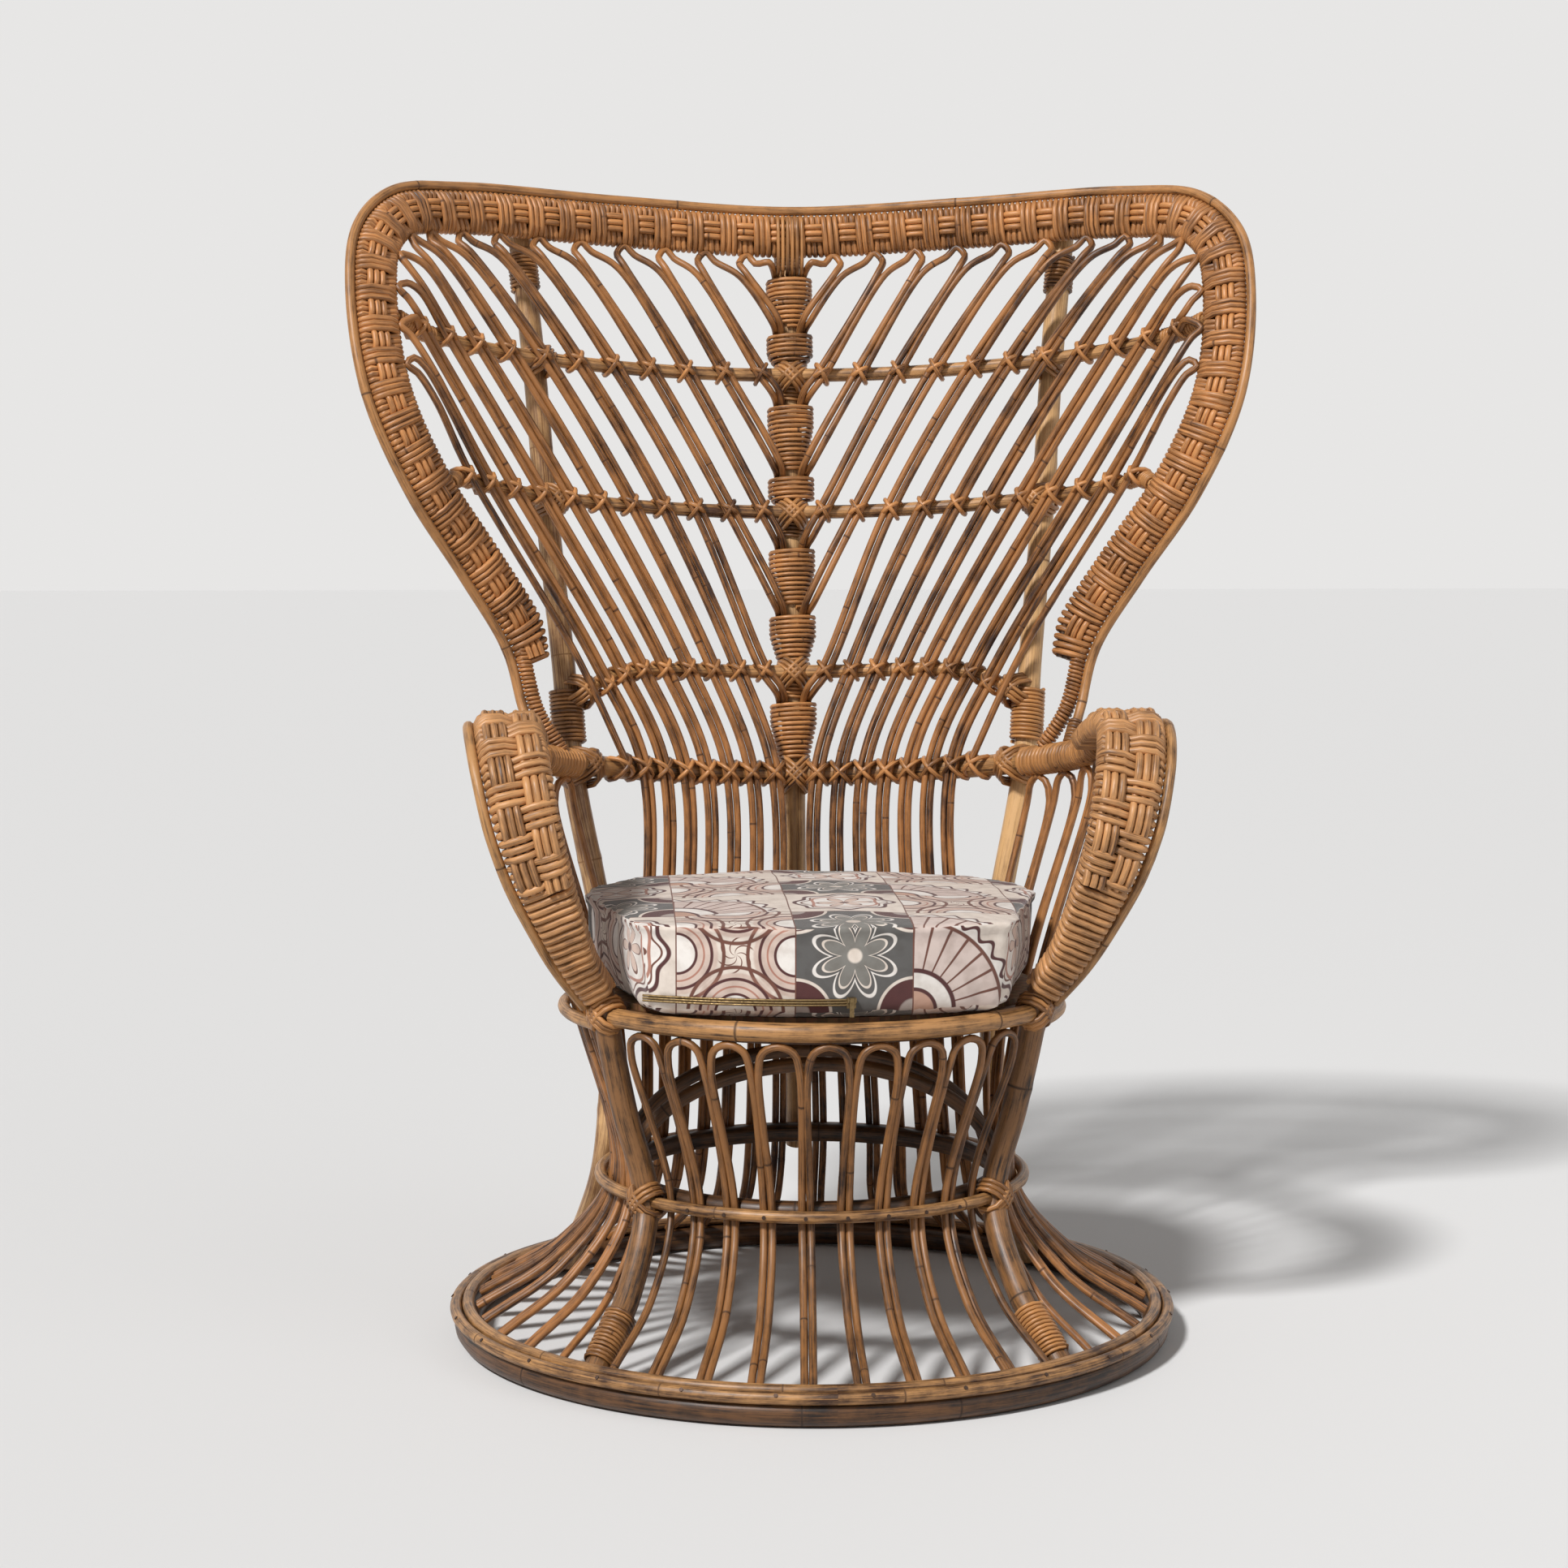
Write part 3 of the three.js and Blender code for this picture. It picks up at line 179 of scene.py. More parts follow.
def skin_group():
    # The skin of varnished rattan: fibres along the cane, blotches, dark specks and growth rings.
    group = bpy.data.node_groups.new("rattan_skin", "ShaderNodeTree")
    sockets = group.interface
    for label, kind, start in (("Light", "NodeSocketColor", (0.5, 0.25, 0.08, 1)),
                               ("Dark", "NodeSocketColor", (0.1, 0.04, 0.013, 1)),
                               ("Rings", "NodeSocketFloat", 0.2), ("Wear", "NodeSocketFloat", 0.5)):
        sockets.new_socket(label, in_out="INPUT", socket_type=kind).default_value = start
    sockets.new_socket("Color", in_out="OUTPUT", socket_type="NodeSocketColor")
    sockets.new_socket("Roughness", in_out="OUTPUT", socket_type="NodeSocketFloat")
    sockets.new_socket("Height", in_out="OUTPUT", socket_type="NodeSocketFloat")
    given = group.nodes.new("NodeGroupInput").outputs
    result = group.nodes.new("NodeGroupOutput")
    place = placed(group, "TexCoord").outputs
    strand = placed(group, "Attribute", attribute_name="strand").outputs["Fac"]
    calc = calculator(group)

    def noise(source, stretch, size, detail, rough=0.6):
        mapping = placed(group, "Mapping", {"Scale": stretch, "Vector": place[source]})
        return placed(group, "TexNoise", {"Scale": size, "Detail": detail, "Roughness": rough,
                                          "Vector": mapping.outputs[0]}).outputs["Fac"]

    def about_middle(value, amount):
        return calc("MULTIPLY", calc("SUBTRACT", value, 0.5), amount)

    # along the cane (per metre along and round it), and over the whole chair
    fibre = noise("UV", (9, 620, 1), 1, 5, 0.65)
    fine = noise("UV", (40, 2600, 1), 1, 3)
    run = noise("UV", (24, 210, 1), 1, 5, 0.7)
    fleck = noise("UV", (140, 420, 1), 1, 3, 0.75)
    blotch = noise("Object", (1, 1, 1), 34, 4)
    patch = noise("Object", (1, 1, 1), 8, 2, 0.5)
    # a thin dark line at each growth ring, and specks where the varnish has gone
    metres = placed(group, "SeparateXYZ", {0: place["UV"]}).outputs["X"]
    turn = calc("FRACT", calc("DIVIDE", metres, given["Rings"]))
    gap = calc("MULTIPLY", calc("ABSOLUTE", calc("SUBTRACT", turn, 0.5)), given["Rings"])
    ring = placed(group, "MapRange", {"Value": gap, "From Min": 0.0004, "From Max": 0.0022,
                                      "To Min": 0.85, "To Max": 0.0}).outputs[0]
    spots = placed(group, "MapRange", {"Value": fleck, "From Min": 0.66, "From Max": 0.74,
                                       "To Max": 0.8}).outputs[0]
    darkest = calc("MAXIMUM", ring, calc("MULTIPLY", spots, given["Wear"]))
    # how dark the skin is: fibres, stains, the tone of the cane, and broad patches
    streak = calc("MULTIPLY_ADD", calc("SUBTRACT", fibre, 0.5), 2.3, 0.36)
    spread = calc("ADD", calc("MULTIPLY", blotch, 0.38), calc("MULTIPLY", run, 0.62))
    stain = calc("MULTIPLY", about_middle(spread, given["Wear"]), 6.2)
    amount = calc("ADD", calc("ADD", streak, stain), about_middle(strand, 0.52))
    amount = calc("ADD", amount, about_middle(patch, 0.9))
    total = calc("MAXIMUM", amount, darkest, clamp=True)
    shine = calc("MULTIPLY_ADD", fibre, 0.3, 0.27)
    relief = calc("ADD", calc("MULTIPLY", fine, 0.5), fibre)
    feed(group, result, {"Color": mixed(group, total, given["Light"], given["Dark"]),
                         "Roughness": calc("ADD", shine, calc("MULTIPLY", darkest, 0.25)),
                         "Height": calc("SUBTRACT", relief, calc("MULTIPLY", darkest, 0.6))})
    return group


skin = skin_group()


def bare_material(name):
    # A new material, its node tree and its shader.
    material = bpy.data.materials.new(name)
    material.use_nodes = True
    return material, material.node_tree, material.node_tree.nodes["Principled BSDF"]


def rattan(name, light, dark, rings=0.2, wear=0.5, bump=0.25):
    # One shade of rattan on the shared skin.
    material, tree, surface = bare_material(name)
    look = placed(tree, "Group", {"Light": (*light, 1), "Dark": (*dark, 1), "Rings": rings, "Wear": wear},
                  node_tree=skin)
    relief = placed(tree, "Bump", {"Strength": bump, "Distance": 0.0006, "Height": look.outputs["Height"]})
    feed(tree, surface, {"Base Color": look.outputs["Color"], "Roughness": look.outputs["Roughness"],
                         "Normal": relief.outputs[0], "Specular IOR Level": 0.42})
    return material


def coat(piece, material):
    # The piece shows this material and no other.
    piece.data.materials.clear()
    piece.data.materials.append(material)


def finish_piece(piece, material, *nodes, body="frame"):
    # A finished piece gets its material, rides on its body and takes the place of its CAD nodes.
    coat(piece, material)
    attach(piece, body)
    if nodes:
        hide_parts(*nodes)


def ring_line(radius, z, steps=160, start=0.0, end=360.0):
    # A level ring round the base, or a part of one from start to end in degrees.
    whole = end - start == 360
    turns = np.linspace(start, end, steps, endpoint=not whole)
    return np.array([polar(a, radius, z) for a in turns])


HOOP_RADIUS, HOOP_Z, HOOP_POLE = 0.372, 0.014, 0.0278
# Dark rattan for the hoops under the chair and the cores under the wraps: its darkness is painted shade.
pole_shaded = rattan("rattan_hoop", (0.12, 0.052, 0.018), (0.01, 0.004, 0.0018), rings=0.31, wear=0.7)
hoop = rods("ground_hoop", [ring_line(HOOP_RADIUS, HOOP_Z)], HOOP_POLE, closed=True, sides=16)
finish_piece(hoop, pole_shaded, "base_hoop")

# Base rings. Two thinner canes are nailed on top of the ground hoop, one outside the other,
# and the spokes of the skirt end against the inner one.
RING_CANE = 0.0129  # thickness of the thin rings and hoops
OUTER_RING, INNER_RING = (0.38426, 0.03087), (0.3711, 0.03483)  # radius and height
cane_light = rattan("rattan_ring", (0.45, 0.23, 0.085), (0.035, 0.012, 0.004), rings=0.27, wear=0.62)
outer = rods("base_ring_out", [ring_line(*OUTER_RING)], RING_CANE, closed=True, sides=12)
finish_piece(outer, cane_light, "base_ring_outer")
inner = rods("base_ring_in", [ring_line(*INNER_RING)], RING_CANE, closed=True, sides=12)
finish_piece(inner, cane_light, "base_ring_inner")

# Front legs. Two poles splay from the seat to the ground hoop, pinched in at the waist,
# and a binding of split cane covers each foot.
WAIST_Z, SEAT_Z = 0.172, 0.367
WAIST_OUT, SEAT_OUT = 0.2284, 0.26655  # circles of the outer hoops
SEAT_LEG, WAIST_LEG, FOOT_LEG = 56, 52.3, 41.5  # where the legs stand, in degrees from the front
FOOT_OUT, FOOT_Z = 0.361, 0.0172  # where a pole ends on the ground hoop
POLE = 0.0268
SIDES = ((-1, "left"), (1, "right"))


def skirt_point(angle, radius, share, inset):
    # A point on a pole between the waist and its foot, at a share of the way down.
    out = radius + (0.363 - radius) * share - inset
    return polar(angle, out, WAIST_Z + (FOOT_Z - WAIST_Z) * share ** 0.72)


def mirrored(points, side):
    # A line of the right half, on the side given.
    return np.asarray(points) * [side, 1, 1]


pole_tan = rattan("rattan_pole", (0.66, 0.4, 0.18), (0.16, 0.068, 0.024), rings=0.24, wear=0.42, bump=0.2)
# the legs are coloured darker than the posts: partly their own stain, partly painted shade of the low front
# of the chair
leg_brown = rattan("rattan_leg", (0.22, 0.1, 0.033), (0.01, 0.004, 0.0016), rings=0.24, wear=0.85, bump=0.2)
leg_line = bend([polar(SEAT_LEG, SEAT_OUT, 0.381), polar(SEAT_LEG, SEAT_OUT, SEAT_Z),
                 polar(SEAT_LEG, 0.2455, 0.2695), polar(WAIST_LEG, WAIST_OUT, WAIST_Z),
                 skirt_point(45.5, WAIST_OUT, 0.42, 0.006), skirt_point(42.5, WAIST_OUT, 0.8, 0.002),
                 polar(FOOT_LEG, FOOT_OUT, FOOT_Z)], 0.008)
for side, label in SIDES:
    leg = rods("leg_" + label, [mirrored(leg_line, side)], POLE, sides=14, joints=0.24)
    finish_piece(leg, leg_brown, "front_leg_" + label)


def resampled(line, at):
    # The points of a line at these metres along it.
    metres = lengths_of(line)
    return np.column_stack([np.interp(at, metres, line[:, k]) for k in range(3)])


def unit(vectors):
    return vectors / np.linalg.norm(vectors, axis=-1, keepdims=True)


def frames_along(points, guide):
    # At each point of a line: the way ahead, the guide direction square to it, and the way across.
    ahead = unit(np.gradient(points, axis=0))
    guide = unit(guide - ahead * np.sum(guide * ahead, axis=1)[:, None])
    return ahead, guide, np.cross(ahead, guide)


def wound(line, radius, pitch, start, end, steps=12):
    # A binding cane wound round part of a line, from start to end in metres, in steps to the turn.
    count = max(steps, int((end - start) / pitch * steps))
    centre = resampled(line, np.linspace(start, end, count + 1))
    _, guide, across = frames_along(centre, np.array([0.0, 1.0, 0.0]))
    turn = 2 * np.pi * np.arange(count + 1) / steps
    return centre + across * (radius * np.cos(turn))[:, None] + guide * (radius * np.sin(turn))[:, None]


binding = rattan("rattan_binding", (0.48, 0.22, 0.072), (0.045, 0.015, 0.005), rings=0.9, wear=0.5)
leg_length = lengths_of(leg_line)[-1]
for side, label in SIDES:
    line = mirrored(leg_line, side)
    turns = [wound(line, 0.0152, 0.0047, leg_length - 0.085, leg_length - 0.024)]
    foot = rods("foot_binding_" + label, turns, 0.0043, sides=6)
    finish_piece(foot, binding)

# Waist. The spokes are gripped between a thick hoop inside and a thin one outside,
# which runs from leg to leg and is nailed through.
WAIST_IN, INNER_POLE = 0.20115, 0.0218
# the inner waist hoop is coloured dark as painted shade under the seat
waist_in = rods("waist_hoop", [ring_line(WAIST_IN, WAIST_Z)], INNER_POLE, closed=True, sides=12)
finish_piece(waist_in, pole_shaded, "waist_hoop_inner")
for label, steps, start, end in (("front", 60, -49.2, 49.2), ("rear", 120, 55.4, 304.6)):
    line = ring_line(WAIST_OUT, WAIST_Z, steps, start, end)
    waist_out = rods("waist_" + label, [line], RING_CANE, sides=12, joints=0.3)
    finish_piece(waist_out, cane_light, "waist_hoop_" + label)

# Seat ring. A hoop coloured dark, as painted shade under the cushion, carries the woven deck,
# and the front rail and the outer hoop close the ring between the legs.
SEAT_IN, SEAT_IN_Z = 0.24035, 0.3616
SEAT_OUT_Z = 0.355  # height of the outer hoop
seat_in = rods("seat_hoop", [ring_line(SEAT_IN, SEAT_IN_Z)], INNER_POLE, closed=True, sides=12)
finish_piece(seat_in, pole_shaded, "seat_hoop_inner")
rail_brown = rattan("rattan_rail", (0.42, 0.21, 0.075), (0.024, 0.009, 0.0035), rings=0.28, wear=0.75)
rail = rods("seat_front_rail", [ring_line(SEAT_OUT, SEAT_Z, 60, -53, 53)], 0.0198, sides=12, joints=0.28)
finish_piece(rail, rail_brown, "front_seat_rail")
line = ring_line(SEAT_OUT, SEAT_OUT_Z, 120, 59.2, 300.8)
seat_out = rods("seat_hoop_out", [line], RING_CANE, sides=12, joints=0.3)
finish_piece(seat_out, cane_light, "seat_hoop_outer")

# Seat deck. Flat cane strips woven over and under, stretched across the seat hoop.
# From below it shows between the spokes, and from above when the cushion is lifted.
deck_weave, tree, surface = bare_material("deck_weave")
place = placed(tree, "TexCoord").outputs["Object"]
checks = placed(tree, "TexChecker", {"Scale": 95, "Color1": (0.3, 0.15, 0.06, 1),
                                     "Color2": (0.2, 0.094, 0.036, 1), "Vector": place})
strips = placed(tree, "TexNoise", {"Scale": 160, "Detail": 4, "Vector": place})
relief = placed(tree, "Bump", {"Strength": 0.5, "Distance": 0.001, "Height": checks.outputs["Fac"]})
strip_colour = mixed(tree, 0.7, checks.outputs["Color"], strips.outputs["Color"], "MULTIPLY")
feed(tree, surface, {"Base Color": strip_colour, "Roughness": 0.62, "Normal": relief.outputs[0]})
coat(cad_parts["seat_deck"], deck_weave)

# Arch braces. Two canes, bent to half an ellipse, stand on the inner waist hoop under the seat
# and stiffen it. They are coloured nearly as dark as the hoops.
BRACE_FOOT_Z, BRACE_RISE = 0.1776, 0.118
RAIL_CANE = 0.0158
brace_dark = rattan("rattan_brace", (0.17, 0.075, 0.026), (0.014, 0.0055, 0.0022), rings=0.26, wear=0.6)
for label, y in (("front", -0.045), ("rear", 0.045)):
    half = math.sqrt(WAIST_IN ** 2 - y ** 2)
    arch = [(-half * math.cos(t), CENTRE_Y + y, BRACE_FOOT_Z + BRACE_RISE * math.sin(t))
            for t in np.linspace(0, math.pi, 40)]
    brace = rods("brace_" + label, [np.array(arch)], RAIL_CANE, sides=12, joints=0.26)
    finish_piece(brace, brace_dark, "arch_brace_" + label)

# Back rails. Three thin rails cross the back in front of the posts, two from wing to wing and
# the lowest from post to post. The back is a reclined sheet that opens towards the wings: s runs
# along a rail and h up the spine.
PLAN_RADIUS = ((0.367, 0.272), (0.576, 0.3528), (1.255, 0.7056))  # height, radius seen from above
SPINE_BACK = ((0.367, 0.272), (0.576, 0.299), (1.255, 0.42))  # height, metres behind the middle
WING_LIFT = 0.2  # the sheet rises by this share of what it comes forward


def along(table, h):
    # The table's value at a height.
    (h0, v0), (h1, v1) = table[1:] if h > table[1][0] else table[:2]
    return v0 + (h - h0) / (h1 - h0) * (v1 - v0)


def sheet(s, h):
    # A point of the back.
    radius = along(PLAN_RADIUS, h)
    forward = radius * (1 - math.cos(s / radius))
    y = along(SPINE_BACK, h) - forward
    return np.array([radius * math.sin(s / radius), y + CENTRE_Y, h + WING_LIFT * forward])


def along_rail(s, h, step):
    # A short way along a rail, towards the right wing.
    return sheet(s + step, h) - sheet(s - step, h)


def facing(s, h):
    # The direction square to the back, towards the front.
    return unit(np.cross(along_rail(s, h, 0.001), sheet(s, h + 0.001) - sheet(s, h - 0.001)))


def on_back(s, h, lift=0.0):
    # A point in front of the back, or behind it.
    return sheet(s, h) + facing(s, h) * lift


RAIL_H = {"lower": 0.69415, "middle": 0.8802, "upper": 1.04112}
RAIL_REACH = {"lower": 0.2641, "middle": 0.45864, "upper": 0.504}
RAIL_DROOP = 0.034  # the ends of the lower rail hang by this much
ARM_RAIL_H = 0.576


def rail_lift(level, s):
    # The two upper rails come forward at their ends to meet the rim.
    return 0.012 * abs(s / RAIL_REACH[level]) ** 6 if level in ("middle", "upper") else 0.0


rail_tan = rattan("rattan_back_rail", (0.66, 0.35, 0.135), (0.06, 0.021, 0.007), rings=0.24, wear=0.5)
rail_lines = {}
for level, cut in (("lower", 1.0), ("middle", 0.985), ("upper", 0.975)):
    points = []
    for i in range(17):
        s = RAIL_REACH[level] * cut * (i / 8 - 1)
        droop = RAIL_DROOP * abs(i / 8 - 1) ** 6 if level == "lower" else 0.0
        points.append(on_back(s, RAIL_H[level] - droop, rail_lift(level, s)))
    rail_lines[level] = bend(points)
    piece = rods("rail_" + level, [rail_lines[level]], RAIL_CANE, sides=12, joints=0.24)
    finish_piece(piece, rail_tan, "back_rail_" + level)

# Spine and rear posts. Three poles behind the rails: the spine ends under the seat,
# and the posts splay to the ground hoop.
BEHIND, ARM_BEHIND, BAND_BEHIND = -0.02185, -0.02635, -0.02675
HEAD_H = 1.215  # the head of the spine, under the rim band
SEAT_POST, WAIST_POST, FOOT_POST = 131, 117, 131.6  # where the posts stand, in degrees from the front
POST_SEAT_OUT, POST_WAIST_OUT = 0.288, 0.2498
POST_S = {"arm": 0.2641, "lower": 0.27418, "middle": 0.29131, "upper": 0.30341, "top": 0.31853}


def behind_rails(s_of):
    # The points of a pole where it passes the rails, from the upper one down to the arms.
    points = [on_back(s_of[level], RAIL_H[level], BEHIND) for level in ("upper", "middle", "lower")]
    return points + [on_back(s_of["arm"], ARM_RAIL_H, ARM_BEHIND)]


spine_line = bend([on_back(0, HEAD_H, BAND_BEHIND)] + behind_rails(dict.fromkeys(POST_S, 0)) + [
    polar(180, POST_SEAT_OUT, SEAT_OUT_Z), polar(180, POST_WAIST_OUT, WAIST_Z),
    polar(180, 0.2538, WAIST_Z - 0.024)])
spine = rods("spine", [spine_line], POLE, sides=14, joints=0.27)
finish_piece(spine, pole_tan, "spine_post")
post_line = bend([on_back(POST_S["top"], 1.205, BAND_BEHIND)] + behind_rails(POST_S) + [
    polar(SEAT_POST, POST_SEAT_OUT, SEAT_OUT_Z), polar(WAIST_POST, POST_WAIST_OUT, WAIST_Z),
    skirt_point(124.3, 0.2484, 0.42, 0.004), polar(FOOT_POST, FOOT_OUT, FOOT_Z)])
for side, label in SIDES:
    post = rods("post_" + label, [mirrored(post_line, side)], POLE, sides=14, joints=0.29)
    finish_piece(post, pole_tan, "rear_post_" + label)


# Rim edge. One cane is bent to the whole outline of the back, over both wings, and its ends
# go into the wound ends of the arm rail. The woven band is tied to its inner side.
def from_front(x, z):
    # The place on the back, as s and h, that is at x and z seen from the front.
    h = z
    for _ in range(8):
        radius = along(PLAN_RADIUS, h)
        h = z - WING_LIFT * (radius - math.sqrt(radius ** 2 - x ** 2))
    radius = along(PLAN_RADIUS, h)
    return radius * math.asin(x / radius), h


RIM_HALF, RIM_TOP, RIM_FALL = 0.504, 1.255, 0.679  # half the width, the top, and the drop to the arms
EDGE_RADIUS = 0.0055
# the outline of the right wing, as shares of the half width and of the fall
rim_shares = [(0, 0.0205), (0.41, 0.0073), (0.77, -0.0015), (0.915, 0.0146), (0.985, 0.08), (0.995, 0.183),
              (0.955, 0.358), (0.865, 0.515), (0.755, 0.65), (0.665, 0.768), (0.63, 0.863), (0.64, 0.898)]
outline = [(out * RIM_HALF, RIM_TOP - drop * RIM_FALL) for out, drop in rim_shares]
rim_half = [sheet(*from_front(max(0, x - EDGE_RADIUS), z - EDGE_RADIUS)) for x, z in outline]
rim_points = [mirrored(p, -1) for p in rim_half[:0:-1]] + rim_half
rim_line = bend(rim_points, 0.004)
edge_brown = rattan("rattan_edge", (0.42, 0.195, 0.065), (0.03, 0.01, 0.0035), rings=0.33, wear=0.6)
edge_end = np.array([0.2954, 0.0875, 0.6195])  # inside the wound end of the arm rail
edge_line = bend([mirrored(edge_end, -1)] + rim_points[1:-1] + [edge_end], 0.008)
edge = rods("rim_edge", [edge_line], 0.0109, sides=12, joints=0.33)
finish_piece(edge, edge_brown, "rim_edge_cane")

# Rim band. A core is wound side by side with binding cane, and three strands run along its face,
# over three turns and under the next three.
BAND_WIDTH, BAND_START = 0.048, 0.0062  # the band's width, and its distance in from the edge cane's middle
BAND_PITCH = 0.0067
WEAVE = 6  # turns to one over and under
CORE_ROWS = (-1, -0.35, 0.35, 1)


def line_frames(points):
    # Along the rim: the way ahead, the front of the band, and the way in from the edge.
    front = np.array([facing(*from_front(p[0], p[2])) * 0.5 - [0, 0.5, 0] for p in points])
    return frames_along(points, front)


def nearest(line, place):
    # The number of the line's point that lies nearest to a place.
    return int(np.argmin(np.linalg.norm(line - place, axis=1)))


def turns_of(loop, count):
    # The corners of a winding, each with its turn, its number in the loop, and its place across and deep.
    order = np.arange(count * len(loop))
    across, deep = np.array(loop)[order % len(loop)].T
    return order / len(loop), order % len(loop), across, deep


def eased(steps):
    # A strand's rise over and under the turns, with its steps rounded off.
    return np.convolve(np.pad(steps, 1, mode="edge"), [0.25, 0.5, 0.25], mode="valid")


band_edge = rim_line[nearest(rim_line, rim_points[2]) - 5:nearest(rim_line, rim_points[-3]) + 6]
band_length = lengths_of(band_edge)[-1]


def on_band(at):
    # At metres along the band: its edge, its front, the way in, and half its width.
    base = resampled(band_edge, at)
    _, front, inward = line_frames(base)
    narrowing = np.minimum(1, 0.8 + np.minimum(at, band_length - at) / 0.16)
    return base, front, inward, BAND_WIDTH / 2 * narrowing


# one turn round the band: across the width, through the thickness
band_loop = [(-1, 0.35), (-0.86, 0.95), (-0.45, 1.05), (0, 1.08), (0.45, 1.05), (0.86, 0.95), (1, 0.35),
             (1, -0.35), (0.86, -0.95), (0, -1.02), (-0.86, -0.95), (-1, -0.35)]
turn, corner, across, deep = turns_of(band_loop, int(band_length / BAND_PITCH))
base, front, inward, half = on_band(turn * BAND_PITCH)
pressed = np.where(turn.astype(int) % WEAVE < WEAVE // 2, -0.0026, 0.0046)
lift = deep * 0.0056 + np.where(np.isin(corner, (2, 3, 4)), pressed, 0)
wrap = base + inward * (BAND_START + half + across * (half - 0.0021))[:, None] + front * lift[:, None]
band_weave = rattan("rattan_weave", (0.56, 0.245, 0.082), (0.045, 0.0145, 0.0045),
                    rings=0.55, wear=0.5, bump=0.3)
band = rods("rim_band_wraps", [wrap], 0.0068, sides=8)
finish_piece(band, band_weave, "rim_band")
at = np.arange(0.004, band_length - 0.004, BAND_PITCH / 2)
base, front, inward, _ = on_band(at)
over = np.round(at / BAND_PITCH - 0.25).astype(int) % WEAVE < WEAVE // 2
rise = eased(np.where(over, 0.0092, 0.0036))[:, None]
strands = [base + inward * (BAND_START + 0.0215 + row * 0.0074) + front * rise for row in (-1, 0, 1)]
lengthwise = rods("rim_band_strands", strands, 0.0069, sides=8)
finish_piece(lengthwise, band_weave)
base, _, inward, half = on_band(np.linspace(0, band_length, 150))
# the core is coloured dark as painted shade in the gaps between the turns
cores = [base + inward * (BAND_START + half + k * (half - 0.009))[:, None] for k in CORE_ROWS]
core = rods("rim_band_core", cores, 0.0105, sides=8)
finish_piece(core, pole_shaded)

# Canes. Every cane is a hairpin, bent over at the top, and its legs lie against its neighbours'
# in pairs: under the seat rail, under the arms and from the rim to the ground.
CANE, PAIR = 0.0082, 0.0086  # thickness, and the distance between the two canes of a pair
CROSS, ARM_CROSS = 0.0134, 0.0172  # from the middle of a rail to the canes in front of it
WAIST_CANE, SEAT_CANE = 0.2165, 0.2557  # circles of the canes
SPOKE_OUT, SPOKE_Z = 0.3608, 0.03303  # where they end, against the inner base ring
CROWN_Z = SEAT_Z - 0.01435
FRONT_PINS, SIDE_PINS, BACK_PINS = 9, 8, 14
FRONT_SPREAD = (SEAT_LEG - 6.5, WAIST_LEG - 5.4, FOOT_LEG - 3.9)  # half the fan at the seat, waist and foot


def out_from_middle(p):
    # The level direction from the middle of the base to a point.
    return unit(np.array([p[0], p[1] - CENTRE_Y, 0]))


def skirt(waist, base, sign=1):
    # The knots of a pair from the waist to the ground, at these angles. A knot is a point, the way
    # that the pair faces, and the direction from cane to cane where that is given.
    flare = polar(waist + (base - waist) * 0.7, WAIST_CANE + (SPOKE_OUT - WAIST_CANE) * 0.42,
                  WAIST_Z + (SPOKE_Z - WAIST_Z) * 0.62)
    points = [polar(waist, WAIST_CANE, WAIST_Z), flare, polar(base, SPOKE_OUT, SPOKE_Z)]
    return [(p, out_from_middle(p) * sign, None) for p in points]


def leg_of(knots, push):
    # One cane of a pair, beside the pair's middle line.
    leg = []
    for i, (p, face, around) in enumerate(knots):
        ahead = knots[min(len(knots) - 1, i + 1)][0] - knots[max(0, i - 1)][0]
        sideways = unit(np.cross(ahead, face)) if around is None else around
        leg.append(p + sideways * push * PAIR / 2)
    return leg


def lerp(a, b, t):
    return a + (b - a) * t


def front_knots(j):
    # The knots of a front pair, counted from the left.
    seat, waist, foot = [lerp(-edge, edge, j / FRONT_PINS) for edge in FRONT_SPREAD]
    below = polar(seat, SEAT_OUT - 0.006, CROWN_Z - 0.026)
    return [(below, out_from_middle(below), None)] + skirt(waist, foot)


# the front canes are a darker copy of the side and back canes: painted shade under the seat
cane_shaded = rattan("rattan_front_cane", (0.26, 0.112, 0.034), (0.016, 0.0055, 0.002), rings=0.23, wear=0.62)
cane_red = rattan("rattan_cane", (0.37, 0.155, 0.047), (0.026, 0.0085, 0.003), rings=0.23, wear=0.62)
pins = []
for i in range(FRONT_PINS):
    crown = []
    for part, pull, drop in ((0.2, 0.001, 0.0065), (0.5, 0, 0), (0.8, 0.001, 0.0065)):
        angle = lerp(-FRONT_SPREAD[0], FRONT_SPREAD[0], (i + part) / FRONT_PINS)
        crown.append(polar(angle, SEAT_OUT - pull, CROWN_Z - drop))
    pins.append(bend(leg_of(front_knots(i), -1)[::-1] + crown + leg_of(front_knots(i + 1), 1), 0.006))
fronts = rods("front_canes", pins, CANE, joints=0.23)
finish_piece(fronts, cane_shaded, "front_canes_1", "front_canes_2", "front_canes_3")

# the line of the right arm, from the rear post round to the front
arm_start = np.array([0.316, 0.02 + CENTRE_Y, 0.634])
arm_bends = [np.array([x, y + CENTRE_Y, z]) for x, y, z in (
    (0.32, -0.06, 0.656), (0.319, -0.138, 0.66), (0.311, -0.193, 0.63), (0.299, -0.219, 0.574),
    (0.285, -0.216, 0.522), (0.267, -0.2, 0.472), (0.248, -0.178, 0.426))]
arm_return = np.array([0.302, 0.1 + CENTRE_Y, 0.614])
arm_line = bend([sheet(POST_S["arm"], ARM_RAIL_H), arm_return, arm_start] + arm_bends[:3], 0.004)
arm_length = lengths_of(arm_line)[-1]


def beneath_arm(j, drop):
    # A place under the arm rail, counted in pairs from the front of the arm.
    share = lerp(0.94, 0.06, j / SIDE_PINS)
    return resampled(arm_line, [share * arm_length])[0] - [0, 0, ARM_CROSS + drop]


